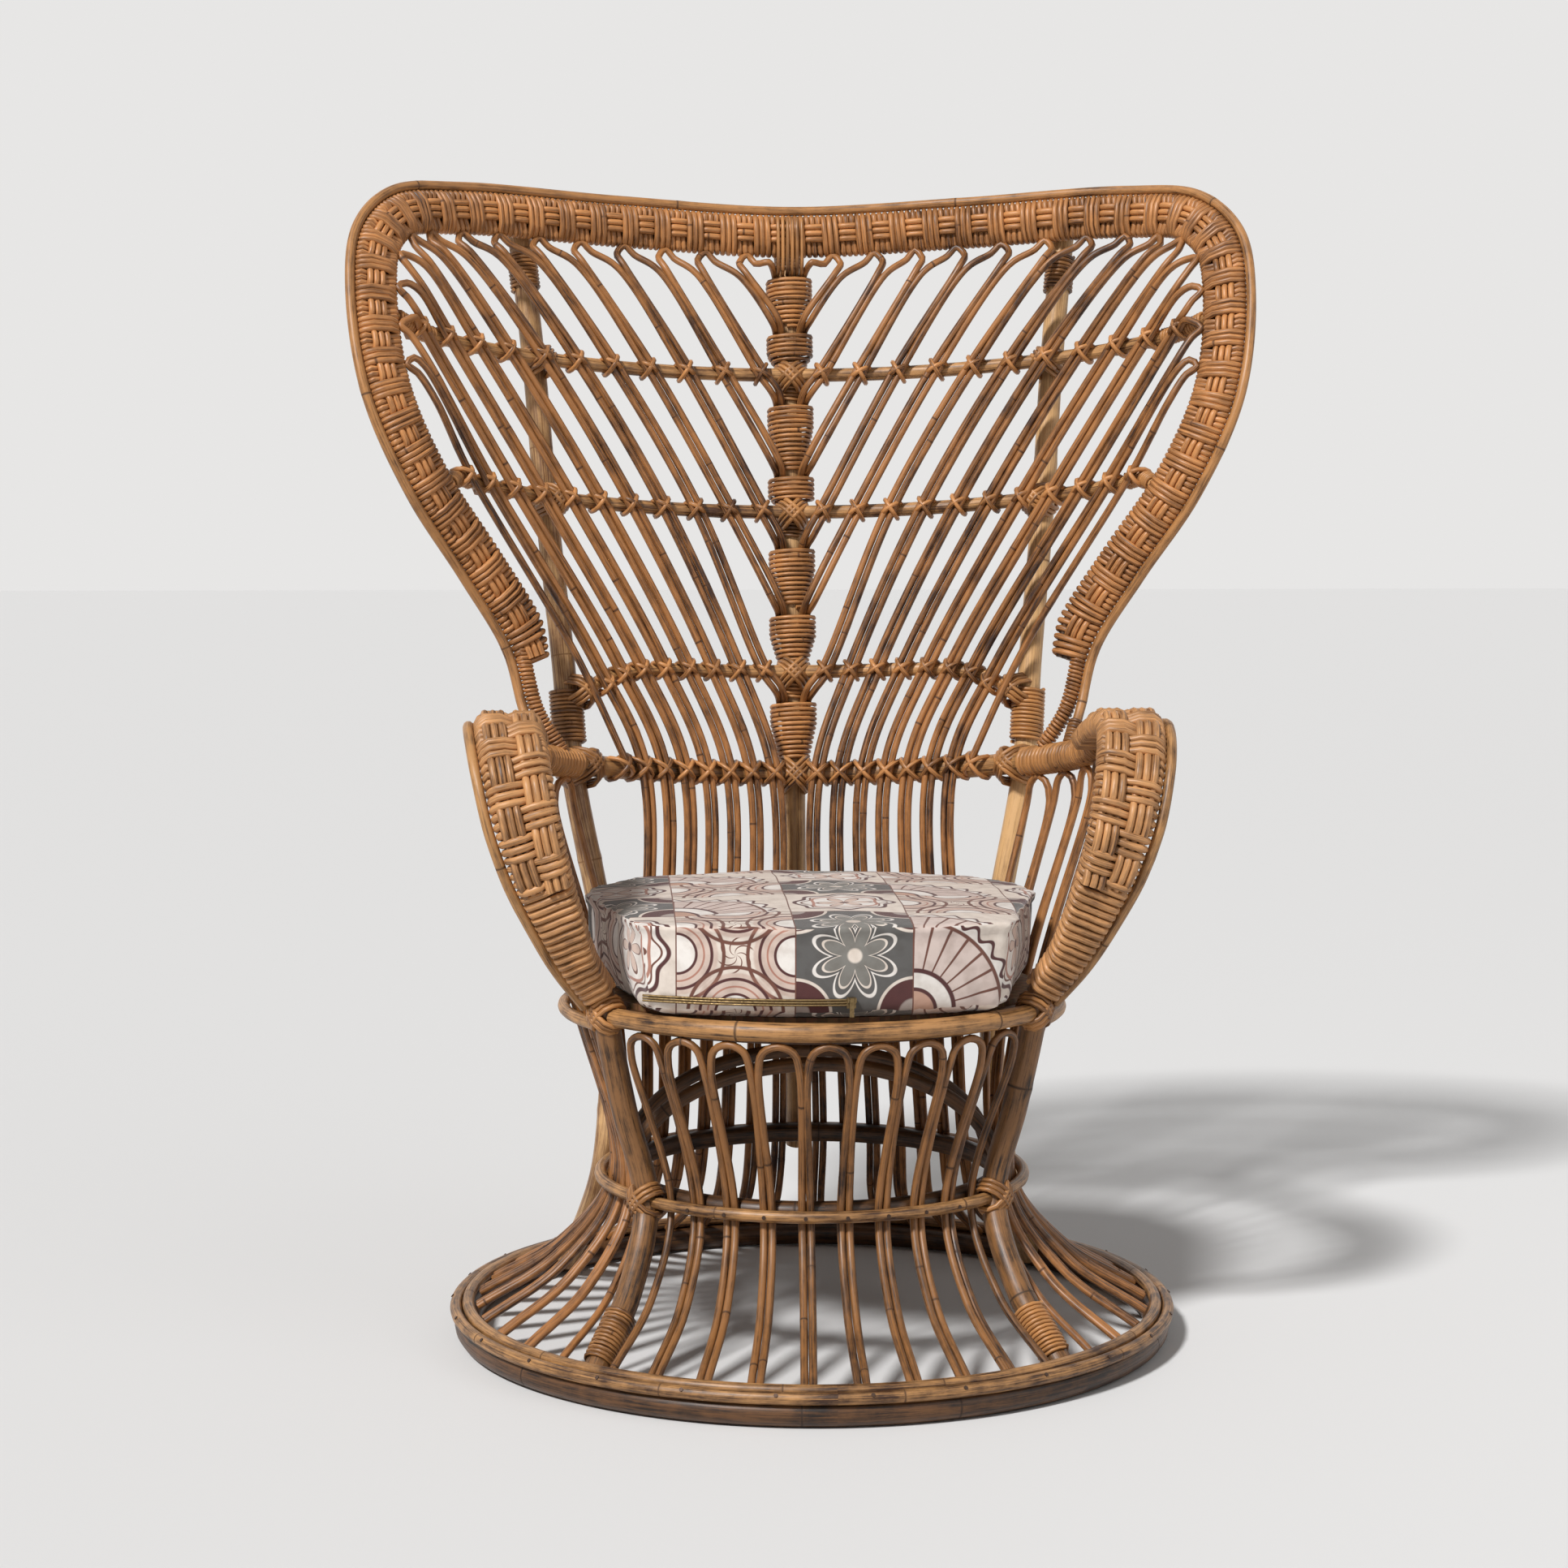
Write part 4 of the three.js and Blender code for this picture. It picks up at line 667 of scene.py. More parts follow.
def side_knots(j):
    # The knots of a side pair, counted from the front.
    seat, waist, foot = [lerp(front + 6, rear - 6, j / SIDE_PINS) for front, rear in (
        (SEAT_LEG, SEAT_POST), (WAIST_LEG, WAIST_POST), (FOOT_LEG, FOOT_POST))]
    points = [beneath_arm(j, 0.03), polar(seat, SEAT_CANE, SEAT_IN_Z)]
    return [(p, out_from_middle(p), None) for p in points] + skirt(waist, foot)


for side, label in SIDES:
    pins = []
    for i in range(SIDE_PINS):
        crown = [beneath_arm(i + part, drop) for part, drop in ((0.24, 0.007), (0.5, 0), (0.76, 0.007))]
        line = bend(leg_of(side_knots(i), -1)[::-1] + crown + leg_of(side_knots(i + 1), 1))
        pins.append(mirrored(line, side))
    sides = rods("side_canes_" + label, pins, CANE, joints=0.23)
    finish_piece(sides, cane_red, f"side_canes_{label}_1", f"side_canes_{label}_2")

# heights of the wrapped cones on the spine, top and bottom
CONES = [(1.1572, 1.1016), (1.0901, 1.0541), (1.0051, 0.9327), (0.9212, 0.8932), (0.8367, 0.7707),
         (0.7592, 0.7072), (0.658, 0.5935)]
half_from = int(np.argmin(np.abs(rim_line[:, 0])))
hem = rim_line[half_from:nearest(rim_line, rim_points[-4]) + 1:2]
_, hem_front, hem_inward = line_frames(hem)
hem = hem + hem_inward * (EDGE_RADIUS + 0.00105 + BAND_WIDTH + 0.004)
TIP_RADIUS, TIP_BEARING = 0.01785, math.radians(48)  # where the cane ends lie against the spine


def below_rim(distance, inset, lift):
    # A place under the band, in metres along it from the middle of the chair.
    at = np.clip([distance - 0.002, distance, distance + 0.002], 0, lengths_of(hem)[-1])
    a, p, b = resampled(hem, at)
    normal = facing(*from_front(p[0], p[2]))
    return p + np.cross(unit(b - a), normal) * inset + normal * lift


def spine_lift(h):
    # How far the middle of the spine lies in front of the back, at a height.
    if h > RAIL_H["upper"]:
        return lerp(BEHIND, BAND_BEHIND, (h - RAIL_H["upper"]) / (HEAD_H - RAIL_H["upper"]))
    return lerp(ARM_BEHIND, BEHIND, min(1, (h - ARM_RAIL_H) / (RAIL_H["lower"] - ARM_RAIL_H)))


PAIR_AT_RIM = [1.008 * share for share in (
    0.027, 0.074, 0.125, 0.171, 0.224, 0.278, 0.33, 0.38, 0.428, 0.468, 0.51, 0.555, 0.6, 0.648, 0.693)]
# for each rail: its first pair, where that crosses it, the step to the next pair, the height, and the lift
PAIRS_ON_RAIL = (("upper", 1, 0.0363, 0.04566, RAIL_H["upper"], CROSS),
                 ("middle", 3, 0.0363, 0.04052, RAIL_H["middle"], CROSS),
                 ("lower", 5, 0.0363, 0.03125, RAIL_H["lower"], CROSS),
                 ("arm", 6, 0.0262, 0.02822, ARM_RAIL_H, ARM_CROSS))
LAST_ON_UPPER, LAST_ON_SPINE = 11, 5  # the last pairs to cross the upper rail, and to end on the spine
crossings = []  # for each lashing: its place, the ways of the pair and of the rail, the front, and the rail


def back_knots(j):
    # The knots of a pair from the rim down, each also with the rail that it crosses and the place on it.
    knots = []
    for level, first, start, pitch, height, lift in PAIRS_ON_RAIL:
        if j >= first and not (level == "upper" and j > LAST_ON_UPPER):
            s = start + (j - first) * pitch
            knots.append((on_back(s, height, lift + rail_lift(level, s)), facing(s, height), None, level, s))
    if j <= LAST_ON_SPINE:
        top = CONES[j + 1][0]
        around = facing(0, top) * math.sin(TIP_BEARING) - np.array([math.cos(TIP_BEARING), 0, 0])
        reach = TIP_RADIUS * math.sin(TIP_BEARING)
        ahead = TIP_RADIUS * math.cos(TIP_BEARING)
        for s, h, lift, turned in ((reach + 0.007, top + 0.016, CROSS - 0.004, None),
                                   (reach, top + 0.002, spine_lift(top) + ahead, around),
                                   (reach, top - 0.018, spine_lift(top - 0.018) + ahead, around)):
            knots.append((on_back(s, h, lift), facing(s, h), turned, None, s))
    elif j < BACK_PINS - 1:
        share = (j - 6 + 0.75) / (BACK_PINS - 1 - 6 + 0.6)
        seat, waist, foot = [180 - share * (180 - post) for post in (SEAT_POST, WAIST_POST, FOOT_POST)]
        on_seat = polar(seat, SEAT_CANE, SEAT_IN_Z)
        lower = [(on_seat, -out_from_middle(on_seat), None)] + skirt(waist, foot, -1)
        knots += [(*knot, None, 0.0) for knot in lower]
    # a pair leaves the band straight towards its first rail
    start = below_rim(PAIR_AT_RIM[j + 1], 0.0, CROSS + 0.003)
    towards = knots[0][0] - start
    far = np.linalg.norm(towards)
    start = start + towards / far * min(0.028, far / 2)
    knots.insert(0, (start, facing(*from_front(start[0], start[2])), None, None, 0.0))
    for i, (p, face, _, level, s) in enumerate(knots):
        if level:
            down = unit(knots[min(i + 1, len(knots) - 1)][0] - knots[i - 1][0])
            rail = unit(along_rail(s, p[2], 0.002))
            droop = RAIL_DROOP * (s / RAIL_REACH["lower"]) ** 6 if level == "lower" else 0.0
            at = p - face * (ARM_CROSS if level == "arm" else CROSS) - down / down[2] * droop
            if droop < RAIL_DROOP:
                crossings.append((at, down, rail, face, level))
    return [knot[:3] for knot in knots]


pair_knots = {j: back_knots(j) for j in range(-1, BACK_PINS)}
for side, label in SIDES:
    pins = []
    for i in range(BACK_PINS):
        leg_a, leg_b = leg_of(pair_knots[i - 1], -1), leg_of(pair_knots[i], 1)
        before, after = PAIR_AT_RIM[i], PAIR_AT_RIM[i + 1]
        middle, out = (before + after) / 2, 0.2 * (after - before)
        crown = [below_rim(middle - out, 0.006, 0.006), below_rim(middle, -0.005, 0.003),
                 below_rim(middle + out, 0.006, 0.006)]
        pins.append(mirrored(bend(leg_a[::-1] + crown + leg_b, 0.006), side))
    backs = rods("back_canes_" + label, pins, CANE, joints=0.23)
    finish_piece(backs, cane_red, *[f"back_canes_{label}_{k}" for k in (1, 2, 3)])

# Spine wraps. Each cone binds a pair of cane ends to the spine, wide at the top and close
# to the pole below, with 5 to 13 turns of thin cane.
TURN_STEPS, CONE_PITCH = 14, 0.0054
wraps = []
for top, bottom in CONES:
    order = np.arange(int((top - bottom) / CONE_PITCH * TURN_STEPS) + 1)
    h = top - order / TURN_STEPS * CONE_PITCH
    share = np.clip((h - bottom) / (top - 0.022 - bottom), 0, 1)
    wide = lerp(0.0163, 0.0256, share)
    deep = lerp(0.0163, 0.0222, share)
    turn = 2 * np.pi * order / TURN_STEPS
    box = 1 + 0.06 * share * np.abs(np.sin(2 * turn))  # the pair of canes makes the cone a little square
    wraps.append(np.array([
        on_back(0, z, spine_lift(z) + 0.0022 * k + d * q * math.sin(t)) + [w * q * math.cos(t), 0, 0]
        for z, k, w, d, t, q in zip(h, share, wide, deep, turn, box)]))
dark_binding = rattan("rattan_spine_wrap", (0.54, 0.24, 0.08), (0.04, 0.013, 0.0045), rings=0.8, wear=0.6)
spine_wraps = rods("spine_wraps", wraps, 0.0049, sides=6)
finish_piece(spine_wraps, dark_binding, *[f"spine_wrap_{k}" for k in range(1, 8)])

# Lashings. Split cane ties every pair to its rail in an X, and ties the spine and the posts to the
# rails with three strands each way. More of it binds the heads of the poles and the ends of the rails.
HALF_RAIL, HALF_ARM_RAIL, HALF_POLE = 0.008, 0.0125, 0.0135


def tie(centre, front, lean, depth, length):
    # One closed turn of binding cane round a crossing, in the plane of the front and the lean direction.
    lean = unit(lean - front * lean.dot(front))
    turns = 2 * np.pi * (np.arange(12) + 0.5) / 12
    return np.array([centre + lean * length * math.cos(t) + front * depth * math.sin(t) for t in turns])


def crossed_ties(centre, front, up, aside, depth, length, apart):
    # Three strands each way round a crossing.
    for lean, spread in ((up + aside, up - aside), (up - aside, up + aside)):
        for k in (-1, 0, 1):
            yield tie(centre + unit(spread) * k * apart, front, lean, depth, length)


ties = []
for place, pair, rail, front, level in crossings:
    deep = (HALF_ARM_RAIL if level == "arm" else HALF_RAIL) + 0.004 + 0.0027
    for lean in (pair + rail, pair - rail):
        loop = tie(place + front * 0.0044, front, lean, deep + 0.0012, deep - 0.0016)
        ties += [loop, mirrored(loop, -1)]
lashing = rods("cane_lashings", ties, 0.0056, closed=True, sides=6)
finish_piece(lashing, dark_binding)

ties = []
for level, height in (*RAIL_H.items(), ("arm", ARM_RAIL_H)):
    half = HALF_ARM_RAIL if level == "arm" else HALF_RAIL
    behind = ARM_BEHIND if level == "arm" else BEHIND
    for s in (0.0, POST_S[level]):
        if level == "lower" and s:
            s, height = 0.2625, height - 0.032  # where the drooping end of the rail meets the post
        front = facing(s, height)
        rail = unit(along_rail(s, height, 0.002))
        lift = rail_lift(level, s)
        middle = (lift + half + behind - HALF_POLE) / 2
        deep = (lift + half - behind + HALF_POLE) / 2 + 0.0024
        for loop in crossed_ties(on_back(s, height, middle), front, np.cross(front, rail), rail,
                                 deep + 0.0013, half + 0.0118, 0.0054):
            ties += [loop] if s == 0 else [loop, mirrored(loop, -1)]
spine_ties = rods("pole_lashings", ties, 0.0055, closed=True, sides=6)
finish_piece(spine_ties, binding)


def between(line, low_z, high_z):
    # The part of a line between two heights, in metres along it.
    at = lengths_of(line)
    inside = at[(line[:, 2] > low_z) & (line[:, 2] < high_z)]
    return inside.min(), inside.max()


BIND_PITCH = 0.0046
pole_binds = [wound(spine_line, 0.0155, BIND_PITCH, *between(spine_line, low_z, high_z))
              for low_z, high_z in ((1.166, 1.19), (1.008, 1.03), (0.845, 0.868), (0.66, 0.682))]
for side, _ in SIDES:
    line = mirrored(post_line, side)
    for low_z, high_z, radius in ((1.136, 1.182, 0.0155), (0.612, 0.684, 0.0178)):
        pole_binds.append(wound(line, radius, BIND_PITCH, *between(line, low_z, high_z)))
# the edge cane is bound where it meets the arm rail
edge_length = lengths_of(edge_line)[-1]
for start in (0.004, edge_length - 0.036):
    pole_binds.append(wound(edge_line, 0.0076, 0.0044, start, start + 0.032))
# each rail end reaches the band and is bound there
tips = []
for level in ("upper", "middle"):
    line = rail_lines[level]
    i = nearest(hem, line[-1])
    rim_at = hem[i] - hem_inward[i] * 0.012 - hem_front[i] * 0.003
    tip = bend([line[-5], line[-2], rim_at], 0.004)
    tip_length = lengths_of(tip)[-1]
    for side, _ in SIDES:
        tips.append(mirrored(tip, side))
        pole_binds.append(wound(tips[-1], 0.0082, 0.0042, 0.006, tip_length - 0.012))
rail_tips = rods("rail_tips", tips, 0.0124, sides=10)
finish_piece(rail_tips, rail_tan)
# six strands hold the head of the spine to the band
_, head_front, head_inward = line_frames(rim_line[half_from - 3:half_from + 4])
head_turn = 2 * np.pi * (np.arange(16) + 0.5) / 16
round_x, round_y = [np.sign(wave) * np.abs(wave) ** 0.5 for wave in (np.cos(head_turn), np.sin(head_turn))]
for k in range(6):
    head = rim_line[half_from] * [0, 1, 1] + [(k - 2.5) * 0.0056, 0, 0]
    high, out = round_x * 0.034 + 0.041, round_y * 0.0287 - 0.0142
    loop = head + head_inward[3] * high[:, None] + head_front[3] * out[:, None]
    pole_binds.append(np.vstack([loop, loop[:1]]))
binds = rods("pole_bindings", pole_binds, 0.0044, sides=6)
finish_piece(binds, binding)

# Arm hoop. The lowest and thickest back rail is one bent pole behind the canes. Its ends come
# forward into the arms, and are wound with binding cane where the posts and the rim join them.
hoop_half = [sheet(s, ARM_RAIL_H) for s in (0.045, 0.09, 0.135, 0.18, 0.225, POST_S["arm"])]
hoop_half += [arm_return, arm_start]
hoop_line = bend([mirrored(p, -1) for p in hoop_half[::-1]] + [sheet(0, ARM_RAIL_H)] + hoop_half)
arm_hoop = rods("arm_rail", [hoop_line], 0.0248, sides=14, joints=0.3)
finish_piece(arm_hoop, rail_brown, "arm_hoop")
hoop_ends = []
for side, _ in SIDES:
    line = hoop_line[::side]
    end = lengths_of(line)[-1]
    hoop_ends.append(wound(line, 0.0144, 0.0066, end - 0.185, end - 0.004))
hoop_wraps = rods("arm_rail_wraps", hoop_ends, 0.0065, sides=8)
finish_piece(hoop_wraps, binding)

# Arms. A flat core is wound with binding cane from the back of the arm to the seat. Two columns
# of three strands are woven into its upper half, and the lower half is plain and narrows.
arm_points = [arm_start] + arm_bends + [polar(SEAT_LEG, SEAT_OUT, 0.3814)]
arm_path = bend(arm_points, 0.004)
arm_at = lengths_of(arm_path)
stops = [arm_at[nearest(arm_path, p)] for p in arm_points]
ARM_WIDTHS = [1, 1, 1, 1, 0.95, 0.85, 0.7, 0.55, 0.45]  # at the stops, as shares
ARM_DEPTHS = [1, 1, 1, 1, 1, 1.05, 1.15, 1.25, 1.3]
ARM_PITCH, ARM_STRAND = 0.0083, 0.008
ARM_BLOCK = 3  # turns over which a strand stays above or below
WOVEN = stops[5] + 0.018  # metres of the arm that have strands
# one turn round the arm: across the width, through the thickness
arm_loop = [(-1, 0.3), (-0.92, 0.9), (-0.72, 1.02), (-0.28, 1.02), (0, 1.0), (0.28, 1.02), (0.72, 1.02),
            (0.92, 0.9), (1, 0.3), (1, -0.3), (0.9, -0.95), (0, -1.02), (-0.9, -0.95), (-1, -0.3)]


def on_arm(at, side):
    # At metres along an arm: its middle, the ways across and out, half its width and half its depth.
    point = resampled(arm_path, at)
    _, wide, out = frames_along(point, np.array([1.0, 0, 0]))
    half_wide = 0.033 * np.interp(at, stops, ARM_WIDTHS)
    half_deep = 0.0098 * np.interp(at, stops, ARM_DEPTHS)
    return mirrored(point, side), mirrored(wide, side), mirrored(out, side), half_wide, half_deep


arm_weave = rattan("rattan_arm_weave", (0.58, 0.29, 0.115), (0.052, 0.018, 0.006),
                   rings=0.55, wear=0.5, bump=0.3)
for side, label in SIDES:
    turn, corner, across, deep = turns_of(arm_loop, int((arm_at[-1] - 0.012) / ARM_PITCH))
    at = 0.002 + turn * ARM_PITCH
    point, wide, out, half_wide, half_deep = on_arm(at, side)
    column = np.where(np.isin(corner, (2, 3)), 0, np.where(np.isin(corner, (5, 6)), 1, -1))
    pressed = np.where(turn.astype(int) // ARM_BLOCK % 2 == column, -0.0024, 0.0036)
    lift = deep * (half_deep - 0.0014) + np.where((at < WOVEN) & (column >= 0), pressed, 0)
    line = point + wide * (across * (half_wide - 0.0012))[:, None] + out * lift[:, None]
    wraps = rods("arm_wraps_" + label, [line], ARM_STRAND, sides=8)
    finish_piece(wraps, arm_weave, "arm_band_" + label)
    at = np.arange(0.004, WOVEN, ARM_PITCH / 2)
    point, wide, out, half_wide, half_deep = on_arm(at, side)
    block = np.round((at - 0.002) / ARM_PITCH - 0.29).astype(int) // ARM_BLOCK % 2
    strands = []
    for column in (0, 1):
        lift = half_deep + eased(np.where(block == column, 0.0032, -0.0022))
        for row in (-1, 0, 1):
            off = (column - 0.5) * half_wide * 0.96 + row * 0.0082
            strands.append(point + wide * off[:, None] + out * lift[:, None])
    lengthwise = rods("arm_strands_" + label, strands, ARM_STRAND, sides=8)
    finish_piece(lengthwise, arm_weave)
    point, wide, _, half_wide, _ = on_arm(np.linspace(0.001, arm_at[-1] - 0.006, 90), side)
    # the core is coloured dark as painted shade in the gaps between the turns
    cores = [point + wide * (k * (half_wide - 0.01))[:, None] for k in CORE_ROWS]
    core = rods("arm_core_" + label, cores, 0.0165, sides=8)
    finish_piece(core, pole_shaded)
    point, wide, _, half_wide, _ = on_arm(np.linspace(0.004, arm_at[-1] - 0.004, 60), side)
    line = point + wide * (half_wide + 0.0078)[:, None]
    bead = rods("arm_bead_" + label, [line], 0.0108, sides=10, joints=0.3)
    finish_piece(bead, cane_light, "arm_edge_cane_" + label)

# Rim tails. Below the band the rim narrows to a thin core beside the edge cane. It is wound with
# fine cane all the way down, and its end is tucked into the arm rail.
tail_knots = []
for spans, drop in ((2, 0.003), (1, 0.0)):
    i = nearest(rim_line, rim_points[-1 - spans])
    ahead, _, inward = line_frames(rim_line[i - 3:i + 4])
    tail_knots.append(rim_line[i] + inward[3] * 0.0175 + ahead[3] * drop)
tail_knots.append(lerp(sheet(POST_S["arm"], ARM_RAIL_H), arm_return, 0.45) + [0.002, 0, 0.0125])
tail_line = bend(tail_knots, 0.004)
tail_length = lengths_of(tail_line)[-1]
for side, label in SIDES:
    line = mirrored(tail_line, side)
    turns = [wound(line, 0.0072, BIND_PITCH, 0.001, tail_length - 0.001)]
    tail = rods("rim_tail_wrap_" + label, turns, 0.0043, sides=6)
    finish_piece(tail, band_weave, "rim_tail_" + label)
    # the core is coloured dark as painted shade in the gaps between the turns
    stem = rods("rim_tail_core_" + label, [line], 0.0118, sides=8)
    finish_piece(stem, pole_shaded)

# Leg lashings. Split cane, three strands each way, ties the front legs to the seat rail with the
# foot of each arm, and to the outer hoops of the waist.
ties = []
for angle, out, height in ((SEAT_LEG, SEAT_OUT, SEAT_Z + 0.002), (WAIST_LEG, WAIST_OUT, WAIST_Z)):
    middle = polar(angle, out, height)
    aside = np.array([math.cos(math.radians(angle)), math.sin(math.radians(angle)), 0])
    for loop in crossed_ties(middle, out_from_middle(middle), np.array([0, 0, 1.0]), aside,
                             0.0169, 0.0213, 0.0055):
        ties += [loop, mirrored(loop, -1)]
leg_ties = rods("leg_lashings", ties, 0.0056, closed=True, sides=6)
finish_piece(leg_ties, binding)

# Nails. Round iron heads, a little rusted, hold the outer base ring to the ground hoop, and the
# front waist hoop to the spokes behind it.
RING_NAILS, NAIL_TILT = 26, math.radians(50)
heads = []
for k in range(RING_NAILS):
    angle = k * 360 / RING_NAILS + 5
    out = polar(angle, 1, 0) - [0, CENTRE_Y, 0]
    tilt = out * math.sin(NAIL_TILT) + [0, 0, math.cos(NAIL_TILT)]
    start = polar(angle, *OUTER_RING) + tilt * 0.0058
    heads.append(np.array([start, start + tilt * 0.0014]))
for j in range(1, FRONT_PINS):
    angle = lerp(-FRONT_SPREAD[1], FRONT_SPREAD[1], j / FRONT_PINS)
    heads.append(np.array([polar(angle, WAIST_OUT + off, WAIST_Z) for off in (0.0058, 0.0072)]))
iron, tree, surface = bare_material("nail_iron")
place = placed(tree, "TexCoord").outputs["Object"]
rust = placed(tree, "TexNoise", {"Scale": 900, "Vector": place}).outputs["Fac"]
feed(tree, surface, {"Base Color": mixed(tree, rust, (0.035, 0.03, 0.028), (0.1, 0.05, 0.028)),
                     "Metallic": 0.7, "Roughness": 0.5})
nails = rods("nails", heads, 0.0042, sides=8)
finish_piece(nails, iron)

# Seat cushion. A bow-fronted block of foam in a printed cotton cover, fuller in the middle
# than at its edges, with a zip along the lower front.
FOAM_VOXEL, COVER_FRAMES = 0.006, 16
COVER_SHARE = 0.22  # how much the cover swells, because the foam holds it out to its corners
CUSHION_CROWN, SIDE_SPREAD, BRIM_SPREAD = 0.009, 0.035, 0.05


def corners(piece):
    # The places of a mesh's vertices.
    places = np.zeros(3 * len(piece.data.vertices))
    piece.data.vertices.foreach_get("co", places)
    return places.reshape(-1, 3)


cushion_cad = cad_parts["seat_cushion"]
bpy.ops.object.select_all(action="DESELECT")
low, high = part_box("seat_cushion")
cushion = cushion_cad.copy()
cushion.data = cushion_cad.data.copy()
cushion.name = "cushion"
cushion.parent = None
bpy.context.collection.objects.link(cushion)
cushion.matrix_world.identity()
cushion.hide_set(False)
cushion.hide_render = False
bpy.context.view_layer.objects.active = cushion
cushion.select_set(True)
bpy.ops.object.mode_set(mode="EDIT")
bpy.ops.mesh.select_all(action="SELECT")
bpy.ops.mesh.remove_doubles(threshold=1e-5)
bpy.ops.object.mode_set(mode="OBJECT")
remesh = cushion.modifiers.new("even", "REMESH")
remesh.mode = "VOXEL"
remesh.voxel_size = FOAM_VOXEL
bpy.ops.object.modifier_apply(modifier="even")
foam = corners(cushion)
cloth = cushion.modifiers.new("cover", "CLOTH")
for setting, value in (("quality", 5), ("mass", 0.3), ("tension_stiffness", 40),
                       ("compression_stiffness", 40), ("bending_stiffness", 2),
                       ("use_pressure", True), ("uniform_pressure_force", 3)):
    setattr(cloth.settings, setting, value)
cloth.settings.effector_weights.gravity = 0
cloth.point_cache.frame_start = 1
cloth.point_cache.frame_end = COVER_FRAMES
for step in range(1, COVER_FRAMES + 1):
    bpy.context.scene.frame_set(step)
bpy.ops.object.modifier_apply(modifier="cover")
bpy.context.scene.frame_set(1)
co = lerp(foam, corners(cushion), COVER_SHARE)
# the foam keeps its height, rests flat on the deck and crowns towards the middle
fill = np.clip((co[:, 2] - low[2]) / (high[2] - low[2]), 0, 1)
middle = np.array([0, CENTRE_Y - 0.02])
reach = np.hypot((co[:, 0] - middle[0]) / 0.235, (co[:, 1] - middle[1]) / 0.24)
crown = CUSHION_CROWN * np.clip(1 - reach ** 2, 0, 1)
co[:, 2] = np.clip(co[:, 2], low[2], high[2] - 0.003) + crown * fill
for axis in (0, 1):
    co[:, axis] = np.clip(co[:, axis], low[axis], high[axis])
co[:, 0] *= 1 + SIDE_SPREAD * fill  # the cover spreads a little over the side canes
# the sewn edge stands out round the top, and the sides are puckered beside it
brim = np.clip((fill - 0.84) / 0.14, 0, 1)
co[:, :2] = middle + (co[:, :2] - middle) * (1 + BRIM_SPREAD * brim)[:, None]
bearing = np.arctan2(co[:, 0] - middle[0], middle[1] - co[:, 1])
away = (co[:, :2] - middle) / np.maximum(0.01, np.hypot(*(co[:, :2] - middle).T))[:, None]
folds = np.sin(bearing * 31 + 2.2 * np.sin(bearing * 9) + co[:, 2] * 60)
pucker = 0.0015 * folds * np.clip(reach * 1.4 - 0.6, 0, 1)
co[:, :2] += away * (pucker * (0.35 + 0.65 * np.abs(2 * fill - 1)))[:, None]
x, y = co[:, 0], co[:, 1]
wrinkle = 0.0012 * np.sin(x * 41 + 3 * np.sin(y * 17)) * np.sin(y * 29 + x * 13)
co[:, 2] += wrinkle * np.clip(fill * 2 - 1, 0, 1)
cushion.data.vertices.foreach_set("co", co.ravel())
cushion.data.update()
bpy.ops.object.shade_smooth()


